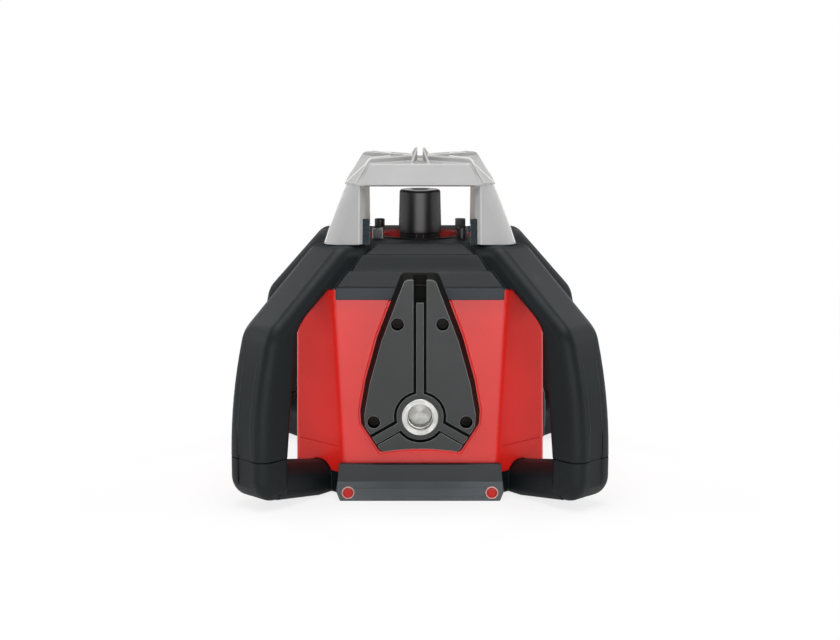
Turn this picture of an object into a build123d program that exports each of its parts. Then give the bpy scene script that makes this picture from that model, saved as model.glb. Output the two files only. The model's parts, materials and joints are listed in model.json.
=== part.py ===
from build123d import *
import os
from math import hypot, radians, sin, sqrt, tan

# Rotary laser level: a self-levelling survey laser in a casing with four corner handles.
# Millimetres, +Z up, origin in the middle of the underside, wall mount plate on the -Y side.

os.makedirs("parts", exist_ok=True)
DIAGONAL = sqrt(2)

# A face counts as leaning one way, or as square to it, by its normal's share along that way
LEANING = 0.2
SQUARE = 0.9

# Clearances
press = 0.03
fit = 0.1
running = 0.05
gap = 0.4

# Casing
body_width = 158.0
body_taper = 2.0
face_width_low = 95.0
face_width_high = 107.0
shell_bottom = 15.0
shell_height = 115.4
shell_wall = 3.0
ridge_radius = 6.0
gasket_height = 1.0
gasket_inset = 0.6
seat_edge = 1.0
seat_stand = 0.7
seam_line_z = 31.5
seam_line_width = 0.5
seam_line_depth = 0.4
seam_line_margin = 4.5

# Base
plate_thickness = 3.0
tray_floor = 3.0
tray_wall = 3.0
lip_height = 4.0
lip_thickness = 2.0
bumper_length = 104.0
bumper_height = 22.0
bumper_crease = 10.6
bumper_reach = 10.5
bumper_top_reach = 3.4
bumper_end_lean = 1.7
bumper_toe = 2.6
bumper_toe_rise = 5.2
bumper_crease_step = 0.6
bumper_edge = 0.8
plug_radius = 3.1
plug_rim = 4.3
plug_rim_depth = 0.7
plug_inset = 7.4
plug_height = 4.8
plug_depth = 4.0
plug_sink = 0.7

# Tripod thread, 5/8 inch, under the base and in the mount plate
thread_radius = 7.94
base_thread_depth = 18.0
side_thread_depth = 14.0
bush_radius = 13.0
bush_flange = 18.0
bush_flange_height = 2.5
bush_cap = 2.5

# Handles
handle_width = 33.0
handle_reach = 151.0
handle_depth = 22.6
handle_seam = 30.6
post_lean = 0.55
post_bow_share = 0.48
knee_inset = 11.5
knee_drop = 23.3
knee_radius = 20.0
inner_knee_inset = 30.6
inner_knee_drop = 21.8
inner_knee_radius = 26.0
crest_radius = 14.0
handle_edge = 7.5
handle_inner_edge = 3.5
bar_root_half = 10.5
bar_root_top = 20.0
bar_root_bottom = 0.2
bar_heel = 12.0
bar_tip_top = 27.0
bar_tip_bottom = 5.2
bar_top_edge = 9.5
bar_bottom_edge = 4.0
elbow_radius = 14.0
seam_edge = 0.4
grip_strip_half = 6.0
grip_strip_depth = 0.8

# Roof
skirt_drop = 7.0
skirt_proud = 2.5
skirt_ledge = 0.8
roof_overhang = 1.0
low_band_rise = 9.6
low_band_lean = 8.0
band_ledge = 2.0
high_band_rise = 9.0
high_band_lean = 6.0
crown_rise = 6.0
crown_lean = 8.0
crown_thickness = 4.0
flank_margin = 2.2
roof_wall = 5.0
well_radius = 34.5

# Head guard
guard_overhang = 8.2
guard_leg_height = 36.7
guard_visor_height = 12.0
guard_kink_inset = 14.1
guard_top_inset = 23.2
guard_wall = 3.8
guard_corner = 9.0
window_half = 37.4
window_bevel = 5.5
leg_face = 32.5
window_head = 0.8
window_clear = 2.0
visor_proud = 1.6
visor_half_low = 38.0
visor_half_high = 32.0
sight_hole = 11.0
sight_rise = 7.0
sight_thickness = 1.2
sight_gap = 0.9
sight_splay = 6.6
strap_width = 9.0
strap_rise = 3.2
strap_reach = 49.0
strap_proud = 0.5
strap_bend = 5.0
foot_pad = 4.0
guard_screw_inset = 25.0
guard_screw_grip = 5.5

# Rotating head and its well
head_top_radius = 13.3
head_low_radius = 14.0
head_rise = 29.4
head_wall = 2.2
head_edge = 2.0
head_base_sink = 6.0
head_base_rise = 1.6
head_base_radius = 13.2
head_roof = 4.0
cradle_height = 4.4
prism_width = 12.0
prism_size = 13.0
aperture_half = 5.5
aperture_height = 14.0
cap_lens_radius = 6.0
cap_lens_height = 1.6
cap_lens_sink = 1.4
collar_inner = 25.2
collar_wall = 2.5
collar_flange = 2.5
collar_rise = 4.2
collar_skirt = 8.0
bracket_width = 6.8
bracket_height = 7.1
bracket_sink = 2.6
bracket_circle = 38.2

# Mount plate
mount_thickness = 12.3
mount_top_half = 9.2
mount_top_rise = 7.2
mount_waist_half = 23.4
mount_waist_z = 101.0
mount_hip_half = 30.7
mount_hip_z = 74.5
mount_side_half = 34.0
mount_side_z = 55.5
mount_low_half = 33.6
mount_low_z = 48.0
mount_foot_half = 23.4
mount_foot = 32.0
mount_arch = 2.0
mount_draft = 3.0
mount_corner = 4.0
channel_depth = 4.5
channel_half = 4.0
rib_half = 2.3
rib_drop = 0.7
ring_channel = 16.0
ring_rim = 14.4
branch_high = 5.6
branch_low = 2.3
branch_rib_high = 3.5
branch_rib_low = 1.7
branch_angle = 30.0
notch_height = 14.0
notch_depth = 9.0
pin_drop = 4.6
insert_radius = 11.3
insert_flange = 14.0
insert_flange_depth = 3.0
insert_proud = 1.0
insert_z = 54.0
mount_screw_high_half = 13.7
mount_screw_high_drop = 20.0
mount_screw_low_half = 28.3
mount_screw_low_z = 50.7
counterbore_radius = 3.85
counterbore_depth = 8.0
mount_boss = 4.5
mount_boss_length = 5.0
mount_screw_grip = 8.0
pin_wire = 0.8

# Control panel on the +Y side
panel_half = 36.0
panel_height = 66.0
panel_drop = 45.4
panel_corner = 8.0
panel_thickness = 2.5
panel_frame = 4.0
panel_post = 2.5
board_drop = 6.1
key_gap = 0.3
button_edge = 0.8
button_travel = 0.8
button_stand = 1.6
button_flange = 1.2
button_flange_height = 1.4
button_radius = 6.0
power_radius = 8.0
button_column = 20.0
button_rows = (-11.0, 7.0)
power_drop = 17.0
window_rise = 19.0
window_size = (30.0, 10.0)
window_depth = 1.5
window_ledge = 2.0
lamp_size = 2.0
lamp_count = 4
board_thickness = 1.6
switch_size = 6.0

# Battery pack, which slides out on the +X side
pack_end = 14.6
pack_side = 3.2
pack_rise = 5.8
pack_floor = 27.0
slide_gap = 0.5
bay_wall = 2.5
pack_wall = 2.0
cell_radius = 9.2
cell_length = 65.0
cell_gap = 1.2
cell_count = 3
cover_thickness = 6.0
cover_edge = 1.5
grip_length = 40.0
grip_height = 14.0
grip_depth = 2.5
terminal_gap = 2.5
terminal_width = 6.0
terminal_height = 10.0
board_spacer = 3.0
board_margin = 3.0
chip_height = 2.0
# Along, across, length and width of each block on the main board
chips = [
    (0.0, 0.0, 16.0, 16.0),
    (24.0, 10.0, 9.0, 6.0),
    (24.0, -10.0, 9.0, 6.0),
    (-24.0, 0.0, 8.0, 26.0),
]

# Levelling gimbal
pivot_drop = 13.4
gimbal_inner = 34.0
gimbal_outer = 42.0
gimbal_height = 8.0
pin_radius = 2.0
chassis_inner = 48.0
chassis_outer = 68.0
chassis_drop = 14.0
chassis_thickness = 4.0
tower_inner = 50.0
tower_depth = 7.0
tower_width = 14.0
chassis_post_radius = 4.0
chassis_post_clear = 4.13
chassis_post_half = 43.13
chassis_ear = 6.0
chassis_screw_grip = 8.0
tilt_limit = 5.0
lead_radius = 2.5
nut_core = 4.2
nut_flange_radius = 7.0
nut_flange_height = 2.5
groove_height = 5.0
fork_thickness = 2.4
fork_prong = 4.0
drive_x_reach = 58.0
drive_y_reach = 38.0
drive_y_drop = 28.0
motor_radius = 6.0
motor_length = 14.0
journal_radius = 1.5
journal_length = 5.0
lead_spare = 2.0

# Laser unit
tube_radius = 20.0
tube_below = 46.0
tube_above = 14.0
optics_bore = 9.0
bearing_radius = 13.0
bearing_width = 6.0
bearing_gap = 6.0
spindle_radius = 7.0
beam_radius = 4.5
pin_boss = 5.5
pin_boss_reach = 32.0
pin_grip = 8.0
bearing_shoulder = 1.0
diode_height = 11.0
diode_can = 4.5
diode_can_height = 4.0
lens_height = 4.0
lens_drop = 16.0
stator_inner = 9.0
stator_outer = 17.0
stator_height = 10.0
rotor_gap = 0.6
rotor_disc = 2.4
rotor_height = 4.5
rotor_hub = 10.0
encoder_radius = 16.0
encoder_height = 1.0
vial_length = 22.0
vial_height = 9.0
vial_depth = 8.0

# Screws
boss_radius = 5.0
base_screw_grip = 7.5
handle_screw_recess = 6.0
handle_screw_grip = 18.0
low_head_height = 1.8
m4_shank = 2.0
m4_head = 3.5
m4_head_height = 2.6
m3_shank = 1.5
m3_head = 2.7
m3_head_height = 2.0
socket_share = 0.55

# Worked-out casing sizes
body_half = body_width / 2
top_half = body_half - body_taper
face_low = face_width_low / 2
face_high = face_width_high / 2
shell_top = shell_bottom + shell_height
roof_z = shell_top + gasket_height
low_band_z = roof_z + low_band_rise
high_band_z = low_band_z + high_band_rise
roof_top = high_band_z + crown_rise
low_band_half = top_half + roof_overhang
low_band_end = low_band_half - low_band_lean
high_band_half = low_band_end - band_ledge
high_band_end = high_band_half - high_band_lean
crown_half = high_band_end - band_ledge
crown_end = crown_half - crown_lean
guard_half = crown_end + guard_overhang
guard_kink_half = guard_half - guard_kink_inset
guard_top_half = guard_half - guard_top_inset
guard_kink_z = roof_top + guard_leg_height
guard_top_z = guard_kink_z + guard_visor_height
tray_top = shell_bottom
floor_z = plate_thickness + tray_floor
half_handle = handle_width / 2


def facet_radius(half, face):
    """Distance of a corner facet from the middle axis."""
    return (half + face) / DIAGONAL


def inset_face(face, wall):
    """Half length of a flat once the eight-sided outline has moved in by a wall."""
    return face - wall * (DIAGONAL - 1)


def roof_face(half):
    """Half length of a roof band between the handle arms."""
    return half - (half_handle + flank_margin) * DIAGONAL


def octagon(half, face, mode=Mode.ADD):
    """Eight-sided outline with four flats and four corner facets."""
    return Polygon(
        (face, -half),
        (half, -face),
        (half, face),
        (face, half),
        (-face, half),
        (-half, face),
        (-half, -face),
        (-face, -half),
        align=None,
        mode=mode,
    )


def octagon_frustum(low, high, mode=Mode.ADD):
    """Solid between two eight-sided outlines, each given as height, half width and half flat."""
    ends = []
    for height, half, face in (low, high):
        with BuildSketch(Plane.XY.offset(height)) as end:
            octagon(half, face)
        ends.append(end.sketch.face())
    loft(ends, ruled=True, mode=mode)


def shell_half(height):
    """Outer half width of the casing at a height."""
    return body_half - body_taper * (height - shell_bottom) / shell_height


def side_edges(blank, half, wanted):
    """Edges of a flat-sided blank along the faces whose outward normal is wanted."""
    chosen = ShapeList()
    for face in blank.faces().filter_by(lambda f: wanted(f.normal_at(), f.center())):
        chosen.extend(e for e in face.edges() if abs(abs(e.center().Y) - half) < 0.01)
    return chosen


def widest_radius(before, corner, after, share=0.9):
    """Radius of the largest arc at a corner, as a share of the room on its shorter side."""
    back = Vector(*before) - Vector(*corner)
    ahead = Vector(*after) - Vector(*corner)
    half_turn = radians(180 - back.get_angle(ahead)) / 2
    return share * min(back.length, ahead.length) / tan(half_turn)


def screw(head_radius, head_height, shank_radius, length):
    """Screw with a six-sided socket, head up, the underside of the head at the origin."""
    with BuildPart() as made:
        Cylinder(head_radius, head_height, align=(Align.CENTER, Align.CENTER, Align.MIN))
        Cylinder(shank_radius, length, align=(Align.CENTER, Align.CENTER, Align.MAX))
        with BuildSketch(Plane.XY.offset(head_height)):
            RegularPolygon(head_radius * socket_share, 6)
        extrude(amount=-head_height * socket_share, mode=Mode.SUBTRACT)
    return made.part


def ring(outer, inner, low, high, mode=Mode.ADD):
    """Ring about the middle axis, or a disc where the inner radius is 0."""
    with BuildSketch(Plane.XY.offset(low)) as outline:
        Circle(outer)
        if inner:
            Circle(inner, mode=Mode.SUBTRACT)
    extrude(outline.sketch.face(), amount=high - low, mode=mode)


def octagon_ring(outer_inset, inner_inset, low, high):
    """Eight-sided ring that follows the lower rim of the casing, moved in by two insets."""
    with BuildSketch(Plane.XY.offset(low)) as outline:
        octagon(body_half - outer_inset, inset_face(face_low, outer_inset))
        octagon(body_half - inner_inset, inset_face(face_low, inner_inset), mode=Mode.SUBTRACT)
    extrude(outline.sketch.face(), amount=high - low)


def keep(piece, label):
    """Name a finished piece and write it."""
    piece.label = label
    export_step(piece, f"parts/{label}.step")


# Handle bar that leaves the tray at each corner, the elbow that turns it up, drawn along +X,
# and the shallow strip sunk down the outside of each handle
facet_low = facet_radius(body_half, face_low)
bar_root = facet_low - tray_wall
post_inner = handle_reach - handle_depth
bar_end = post_inner + handle_depth / 3
elbow_bottom = bar_tip_bottom - gap


def bar_size(station):
    """Half width and top of a handle bar at a distance from the middle axis."""
    share = (station - bar_root) / (bar_end - bar_root)
    half = bar_root_half + (half_handle - gap - bar_root_half) * share
    return half, bar_root_top + (bar_tip_top - bar_root_top) * share


with BuildPart() as lower_bar:
    for station, underside in (
        (bar_root, bar_root_bottom),
        (bar_root + bar_heel, bar_root_bottom),
        (bar_end, bar_tip_bottom),
    ):
        bar_half, bar_top = bar_size(station)
        with BuildSketch(Plane.YZ.offset(station)):
            with BuildLine():
                FilletPolyline(
                    (-bar_half, underside),
                    (bar_half, underside),
                    (bar_half, bar_top),
                    (-bar_half, bar_top),
                    radius=[bar_bottom_edge, bar_bottom_edge, bar_top_edge, bar_top_edge],
                    close=True,
                )
            make_face()
    loft(ruled=True)
with BuildPart() as grip_strip:
    with Locations((handle_reach - grip_strip_depth, 0, 0)):
        Box(
            grip_strip_depth * 4,
            grip_strip_half * 2,
            roof_z * 2,
            align=(Align.MIN, Align.CENTER, Align.CENTER),
        )
with BuildPart() as elbow:
    with BuildSketch(Plane.XZ):
        with BuildLine():
            FilletPolyline(
                (post_inner, elbow_bottom),
                (handle_reach, elbow_bottom),
                (handle_reach, handle_seam),
                (post_inner, handle_seam),
                radius=[0, elbow_radius, 0, 0],
                close=True,
            )
        make_face()
    extrude(amount=half_handle, both=True)
    fillet(side_edges(elbow, half_handle, lambda n, c: n.X > LEANING or n.Z < -SQUARE), handle_edge)
    fillet(side_edges(elbow, half_handle, lambda n, c: n.X < -SQUARE), handle_inner_edge)
    chamfer(elbow.faces().sort_by(Axis.Z)[-1].edges(), seam_edge)
    add(grip_strip.part, mode=Mode.SUBTRACT)
    add(lower_bar.part)

# Base screws stand in from the corner facets, in bosses on the tray floor
base_screw_circle = bar_root - boss_radius * 2
base_screw_length = tray_floor + base_screw_grip
handle_screw_circle = handle_reach - handle_depth / 2
handle_screw_seat = bar_tip_bottom + handle_screw_recess
handle_screw_length = handle_seam - handle_screw_seat + handle_screw_grip

# Base: tray, lip and the four lower bars
lip_inner = tray_wall + gap + lip_thickness
with BuildPart() as base_housing:
    with BuildSketch(Plane.XY.offset(plate_thickness)):
        octagon(body_half, face_low)
    extrude(amount=tray_top - plate_thickness)
    with BuildSketch(Plane.XY.offset(floor_z)):
        octagon(body_half - tray_wall, inset_face(face_low, tray_wall))
    extrude(amount=tray_top - floor_z, mode=Mode.SUBTRACT)
    octagon_ring(tray_wall, lip_inner, tray_top - lip_height, tray_top)
    octagon_ring(tray_wall + gap, lip_inner, tray_top, tray_top + lip_height)
    with PolarLocations(0, 4, 45):
        add(elbow.part)
    with PolarLocations(base_screw_circle, 4, 45):
        with Locations((0, 0, floor_z)):
            Cylinder(boss_radius, base_screw_length, align=(Align.CENTER, Align.CENTER, Align.MIN))
        Cylinder(m4_shank + fit, tray_top * 4, mode=Mode.SUBTRACT)
    with PolarLocations(handle_screw_circle, 4, 45):
        Cylinder(m4_shank + fit, handle_seam * 4, mode=Mode.SUBTRACT)
        Cylinder(m4_head + gap, handle_screw_seat * 2, mode=Mode.SUBTRACT)
    ring(bush_flange + fit, 0, 0, tray_top, mode=Mode.SUBTRACT)
keep(base_housing.part, "base_housing")

# Base plate under the tray, with the tripod bush through its middle
plate_inset = tray_wall + gap
with BuildPart() as base_plate:
    with BuildSketch():
        octagon(body_half - plate_inset, inset_face(face_low, plate_inset))
    extrude(amount=plate_thickness)
    ring(bush_radius + fit, 0, 0, plate_thickness, mode=Mode.SUBTRACT)
    with PolarLocations(base_screw_circle, 4, 45):
        Cylinder(m4_shank + fit, plate_thickness * 4, mode=Mode.SUBTRACT)
        Cylinder(m4_head + gap, low_head_height * 2 + gap, mode=Mode.SUBTRACT)
keep(base_plate.part, "base_plate")

with BuildPart() as base_thread_bush:
    ring(bush_radius, 0, 0, base_thread_depth + bush_cap)
    ring(bush_flange, 0, plate_thickness, plate_thickness + bush_flange_height)
    ring(thread_radius, 0, 0, base_thread_depth, mode=Mode.SUBTRACT)
keep(base_thread_bush.part, "base_thread_bush")

base_screw = Pos(0, 0, low_head_height + gap / 2) * Rot(180, 0, 0) * screw(
    m4_head, low_head_height, m4_shank, plate_thickness - low_head_height + base_screw_length - gap
)
with BuildPart() as base_screws:
    with PolarLocations(base_screw_circle, 4, 45):
        add(base_screw)
keep(base_screws.part, "base_screws")

handle_screw = Pos(0, 0, handle_screw_seat) * Rot(180, 0, 0) * screw(
    m4_head, m4_head_height, m4_shank, handle_screw_length - gap
)
with BuildPart() as handle_screws:
    with PolarLocations(handle_screw_circle, 4, 45):
        add(handle_screw)
keep(handle_screws.part, "handle_screws")

# Bumper along the foot of the front and of the back, with two plugs square to its flared lower face
bumper_half = bumper_length / 2
bumper_back = body_half + fit
bumper_low = body_half + bumper_reach
bumper_mid = body_half + bumper_top_reach + bumper_crease_step
flare = Vector(0, bumper_mid - bumper_low, -bumper_crease).cross(Vector(1, 0, 0)).normalized()
plug_share = plug_height / bumper_crease
plug_face = bumper_low + (bumper_mid - bumper_low) * plug_share
plug_planes = [
    Plane(
        origin=(side * (bumper_half - plug_inset), -plug_face, plug_height),
        x_dir=(1, 0, 0),
        z_dir=(0, -abs(flare.Y), abs(flare.Z)),
    )
    for side in (-1, 1)
]
with BuildPart() as bumper:
    with BuildSketch(Plane.YZ):
        with BuildLine():
            FilletPolyline(
                (-bumper_back, 0),
                (-bumper_low, 0),
                (-bumper_mid, bumper_crease),
                (-body_half - bumper_top_reach, bumper_height),
                (-bumper_back, bumper_height),
                radius=[0, bumper_edge, bumper_edge, bumper_edge, 0],
                close=True,
            )
        make_face()
    extrude(amount=bumper_length, both=True)
    with BuildSketch(Plane.XZ):
        Polygon(
            (bumper_toe - bumper_half, 0),
            (bumper_half - bumper_toe, 0),
            (bumper_half, bumper_toe_rise),
            (bumper_half - bumper_end_lean, bumper_height),
            (bumper_end_lean - bumper_half, bumper_height),
            (-bumper_half, bumper_toe_rise),
            align=None,
        )
    extrude(amount=bumper_low * 2, mode=Mode.INTERSECT)
    with Locations(*plug_planes):
        Hole(plug_radius + fit, plug_depth)
        Cone(
            plug_radius + fit,
            plug_rim,
            plug_rim_depth,
            align=(Align.CENTER, Align.CENTER, Align.MAX),
            mode=Mode.SUBTRACT,
        )
with BuildPart() as plug_pair:
    with Locations(*plug_planes):
        with Locations((0, 0, -plug_sink)):
            Cylinder(plug_radius, plug_depth - plug_sink, align=(Align.CENTER, Align.CENTER, Align.MAX))
with BuildPart() as bumpers:
    with PolarLocations(0, 2):
        add(bumper.part)
keep(bumpers.part, "bumpers")
with BuildPart() as bumper_plugs:
    with PolarLocations(0, 2):
        add(plug_pair.part)
keep(bumper_plugs.part, "bumper_plugs")

# Mount plate outline: wide at the side thread, narrow at the top, with an arched foot
mount_top = roof_z + mount_top_rise
mount_outline = [
    (mount_foot_half, mount_foot),
    (mount_low_half, mount_low_z),
    (mount_side_half, mount_side_z),
    (mount_hip_half, mount_hip_z),
    (mount_waist_half, mount_waist_z),
    (mount_top_half, mount_top),
    (-mount_top_half, mount_top),
    (-mount_waist_half, mount_waist_z),
    (-mount_hip_half, mount_hip_z),
    (-mount_side_half, mount_side_z),
    (-mount_low_half, mount_low_z),
    (-mount_foot_half, mount_foot),
]
mount_back = body_half + seat_stand
mount_face = mount_back + mount_thickness
mount_plane = Plane.XZ.offset(mount_back)


def mount_shape(growth):
    """The mount plate's outline, grown all round, in the current sketch."""
    with BuildLine() as outline:
        Polyline(*mount_outline)
        ThreePointArc(mount_outline[-1], (0, mount_foot + mount_arch), mount_outline[0])
    make_face(outline.line.edges())
    if growth:
        offset(amount=growth, kind=Kind.INTERSECTION)


def branched(ring_radius, upright_half, upright_length, high, low, mode=Mode.ADD):
    """Ring with an upright and two falling branches, in the current sketch."""
    Circle(ring_radius, mode=mode)
    Rectangle(upright_half * 2, upright_length, align=(Align.CENTER, Align.MIN), mode=mode)
    for side, turn in ((1, -branch_angle), (-1, 180 + branch_angle)):
        with Locations(Location((0, 0, 0), (0, 0, turn))):
            with Locations((0, side * (high - low) / 2)):
                Rectangle(mount_top, high + low, align=(Align.MIN, Align.CENTER), mode=mode)


mount_screw_heights = (
    (mount_screw_high_half, roof_z - mount_screw_high_drop),
    (mount_screw_low_half, mount_screw_low_z),
)
mount_screw_places = [(side * across, up) for across, up in mount_screw_heights for side in (-1, 1)]
seat_top = roof_z - skirt_drop - gap

# Control panel outline on the opposite side, seen from behind the instrument
panel_plane = Plane(origin=(0, mount_back, 0), x_dir=(-1, 0, 0), z_dir=(0, 1, 0))
panel_middle = roof_z - skirt_drop - panel_drop
panel_size = (panel_half * 2, panel_height)

# Battery bay places
cell_pitch = cell_radius * 2 + cell_gap
pack_length = pack_wall + gap + cell_length + pack_end
pack_width = cell_pitch * cell_count - cell_gap + pack_side * 2
pack_height = cell_radius * 2 + pack_rise * 2
pack_half = pack_width / 2
pack_top = pack_floor + pack_height
bay_half = pack_half + slide_gap
bay_front = shell_half(pack_top) - shell_wall - gap
pack_back = bay_front - pack_length
bay_back = pack_back - terminal_gap - bay_wall
bay_floor = pack_floor - slide_gap
bay_roof = pack_top + slide_gap

# Arch that clears a handle bar, drawn along +X
arch_half, arch_top = bar_size(facet_low)
with BuildPart() as bar_arch:
    with BuildSketch(Plane.YZ.offset(bar_root - arch_top)):
        with BuildLine():
            FilletPolyline(
                (-arch_half - gap, -gap),
                (arch_half + gap, -gap),
                (arch_half + gap, arch_top + gap),
                (-arch_half - gap, arch_top + gap),
                radius=[0, 0, bar_top_edge + gap, bar_top_edge + gap],
                close=True,
            )
        make_face()
    extrude(amount=arch_top * 2)

# Fine parting line across a corner facet, drawn along +X
facet_high = facet_radius(top_half, face_high)
seam_share = (seam_line_z - shell_bottom) / shell_height
seam_facet = facet_low + (facet_high - facet_low) * seam_share
with BuildPart() as seam_cutter:
    with Locations((seam_facet - seam_line_depth, 0, seam_line_z)):
        Box(
            seam_line_depth * 4,
            (body_half - face_low) * DIAGONAL - seam_line_margin * 2,
            seam_line_width,
            align=(Align.MIN, Align.CENTER, Align.CENTER),
        )

# Red casing
with BuildPart() as body_shell:
    octagon_frustum((shell_bottom, body_half, face_low), (shell_top, top_half, face_high))
    ridges = body_shell.edges().filter_by(lambda e: e.bounding_box().size.Z > shell_height / 2)
    fillet(ridges, ridge_radius)
    with BuildSketch(mount_plane):
        mount_shape(mount_draft + seat_edge)
        with Locations((0, seat_top)):
            Rectangle(body_width, shell_height, align=(Align.CENTER, Align.MIN), mode=Mode.SUBTRACT)
    extrude(amount=-shell_wall - body_taper)
    with BuildSketch(panel_plane):
        with Locations((0, panel_middle)):
            RectangleRounded(panel_size[0] + seat_edge * 2, panel_size[1] + seat_edge * 2, panel_corner)
    extrude(amount=-shell_wall - body_taper)
    octagon_frustum(
        (shell_bottom, body_half - shell_wall, inset_face(face_low, shell_wall)),
        (shell_top, top_half - shell_wall, inset_face(face_high, shell_wall)),
        mode=Mode.SUBTRACT,
    )
    with PolarLocations(0, 4, 45):
        add(bar_arch.part, mode=Mode.SUBTRACT)
        add(seam_cutter.part, mode=Mode.SUBTRACT)
    with BuildSketch(mount_plane):
        with Locations((0, insert_z)):
            Circle(insert_flange + fit)
    extrude(amount=-insert_flange_depth, mode=Mode.SUBTRACT)
    with BuildSketch(Plane.XZ.offset(top_half - shell_wall - mount_boss_length)):
        with Locations(*mount_screw_places):
            Circle(mount_boss)
    extrude(amount=shell_wall + mount_boss_length)
    with Locations(mount_plane):
        with Locations(*mount_screw_places):
            Hole(m4_shank + press, body_half - top_half + shell_wall + mount_boss_length + seat_stand)
    with BuildSketch(panel_plane):
        with Locations((0, panel_middle)):
            RectangleRounded(
                panel_size[0] - panel_frame * 2, panel_size[1] - panel_frame * 2, panel_corner / 2
            )
    extrude(amount=-shell_wall * 4, mode=Mode.SUBTRACT)
    with BuildSketch(Plane.YZ.offset(bay_front - shell_wall)):
        with Locations((0, (bay_floor + bay_roof) / 2)):
            Rectangle(bay_half * 2, bay_roof - bay_floor)
    extrude(amount=shell_wall * 4, mode=Mode.SUBTRACT)
keep(body_shell.part, "body_shell")

# Seal between casing and roof
with BuildPart() as shell_gasket:
    with BuildSketch(Plane.XY.offset(shell_top)):
        octagon(top_half - gasket_inset, inset_face(face_high, gasket_inset))
        octagon(top_half - shell_wall, inset_face(face_high, shell_wall), mode=Mode.SUBTRACT)
    extrude(amount=gasket_height)
keep(shell_gasket.part, "shell_gasket")

# Handle arm and post, drawn along +X from the roof out and down to the seam
arm_root = facet_radius(crown_end, roof_face(crown_end)) - roof_wall
arm_crest = (guard_half - flank_margin) * DIAGONAL
arm_spring = facet_high + gap
knee_z = roof_z - knee_drop
seam_corner = (handle_reach, handle_seam)
bow_corner = (handle_reach - post_lean, handle_seam + post_bow_share * (knee_z - handle_seam))
knee_corner = (handle_reach - knee_inset, knee_z)
bow_radius = widest_radius(seam_corner, bow_corner, knee_corner)
with BuildPart() as upper_handle:
    with BuildSketch(Plane.XZ):
        with BuildLine():
            FilletPolyline(
                seam_corner,
                bow_corner,
                knee_corner,
                (arm_crest, roof_top),
                (arm_root, roof_top),
                (arm_root, roof_z),
                (arm_spring, roof_z),
                (handle_reach - inner_knee_inset, roof_z - inner_knee_drop),
                (post_inner, handle_seam),
                radius=[0, bow_radius, knee_radius, crest_radius, 0, 0, 0, inner_knee_radius, 0],
                close=True,
            )
        make_face()
    extrude(amount=half_handle, both=True)
    fillet(side_edges(upper_handle, half_handle, lambda n, c: n.X > LEANING or n.Z > SQUARE), handle_edge)
    under = side_edges(upper_handle, half_handle, lambda n, c: n.X < -LEANING and c.X > arm_spring)
    fillet(under, handle_inner_edge)
    chamfer(upper_handle.faces().sort_by(Axis.Z)[0].edges(), seam_edge)
    add(grip_strip.part, mode=Mode.SUBTRACT)

# Skirt over the top of one side of the casing
skirt_half = roof_face(low_band_half)
skirt_low = roof_z - skirt_drop
skirt_inner = shell_half(skirt_low) + gap
skirt_outer = top_half + skirt_proud
with BuildPart() as skirt:
    with Locations((0, -skirt_outer, skirt_low)):
        Box(
            skirt_half * 2,
            skirt_outer - skirt_inner,
            skirt_drop + skirt_ledge,
            align=(Align.CENTER, Align.MIN, Align.MIN),
        )

# Roof with its arms and posts
guard_screw_circle = arm_crest - guard_screw_inset
cavity_waist = high_band_z - crown_thickness / 2
cavity_half = high_band_end - roof_wall
crown_cavity = crown_end - crown_thickness
crown_under = roof_top - crown_thickness
with BuildPart() as top_housing:
    octagon_frustum(
        (roof_z, low_band_half, roof_face(low_band_half)),
        (low_band_z, low_band_end, roof_face(low_band_end)),
    )
    octagon_frustum(
        (low_band_z, high_band_half, roof_face(high_band_half)),
        (high_band_z, high_band_end, roof_face(high_band_end)),
    )
    octagon_frustum(
        (high_band_z, crown_half, roof_face(crown_half)), (roof_top, crown_end, roof_face(crown_end))
    )
    with PolarLocations(0, 4):
        add(skirt.part)
    with PolarLocations(0, 4, 45):
        add(upper_handle.part)
    rim = shell_wall + gap
    octagon_frustum(
        (roof_z, top_half - rim, inset_face(face_high, rim)),
        (cavity_waist, cavity_half, roof_face(cavity_half)),
        mode=Mode.SUBTRACT,
    )
    octagon_frustum(
        (cavity_waist, cavity_half, roof_face(cavity_half)),
        (crown_under, crown_cavity, roof_face(crown_cavity)),
        mode=Mode.SUBTRACT,
    )
    ring(well_radius, 0, crown_under, roof_top, mode=Mode.SUBTRACT)
    with PolarLocations(handle_screw_circle, 4, 45):
        with Locations((0, 0, handle_seam)):
            Cylinder(m4_shank + press, handle_screw_grip * 2, mode=Mode.SUBTRACT)
    with PolarLocations(guard_screw_circle, 4, 45):
        with Locations((0, 0, roof_top)):
            Cylinder(m3_shank + press, guard_screw_grip * 2, mode=Mode.SUBTRACT)
    with PolarLocations(bracket_circle, 4, 45):
        with Locations((0, 0, roof_top)):
            Cylinder(m3_shank + press, crown_thickness * 4, mode=Mode.SUBTRACT)
keep(top_housing.part, "top_housing")

# Red well around the head, hung under the crown
collar_outer = collar_inner + collar_wall
collar_low = crown_under - collar_flange
with BuildPart() as head_collar:
    ring(bracket_circle + boss_radius, collar_inner, collar_low, crown_under)
    ring(collar_outer, collar_inner, collar_low - collar_skirt, crown_under + collar_rise)
    with PolarLocations(bracket_circle, 4, 45):
        with Locations((0, 0, crown_under)):
            Cylinder(m3_shank + press, collar_flange * 4, mode=Mode.SUBTRACT)
keep(head_collar.part, "head_collar")

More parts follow.
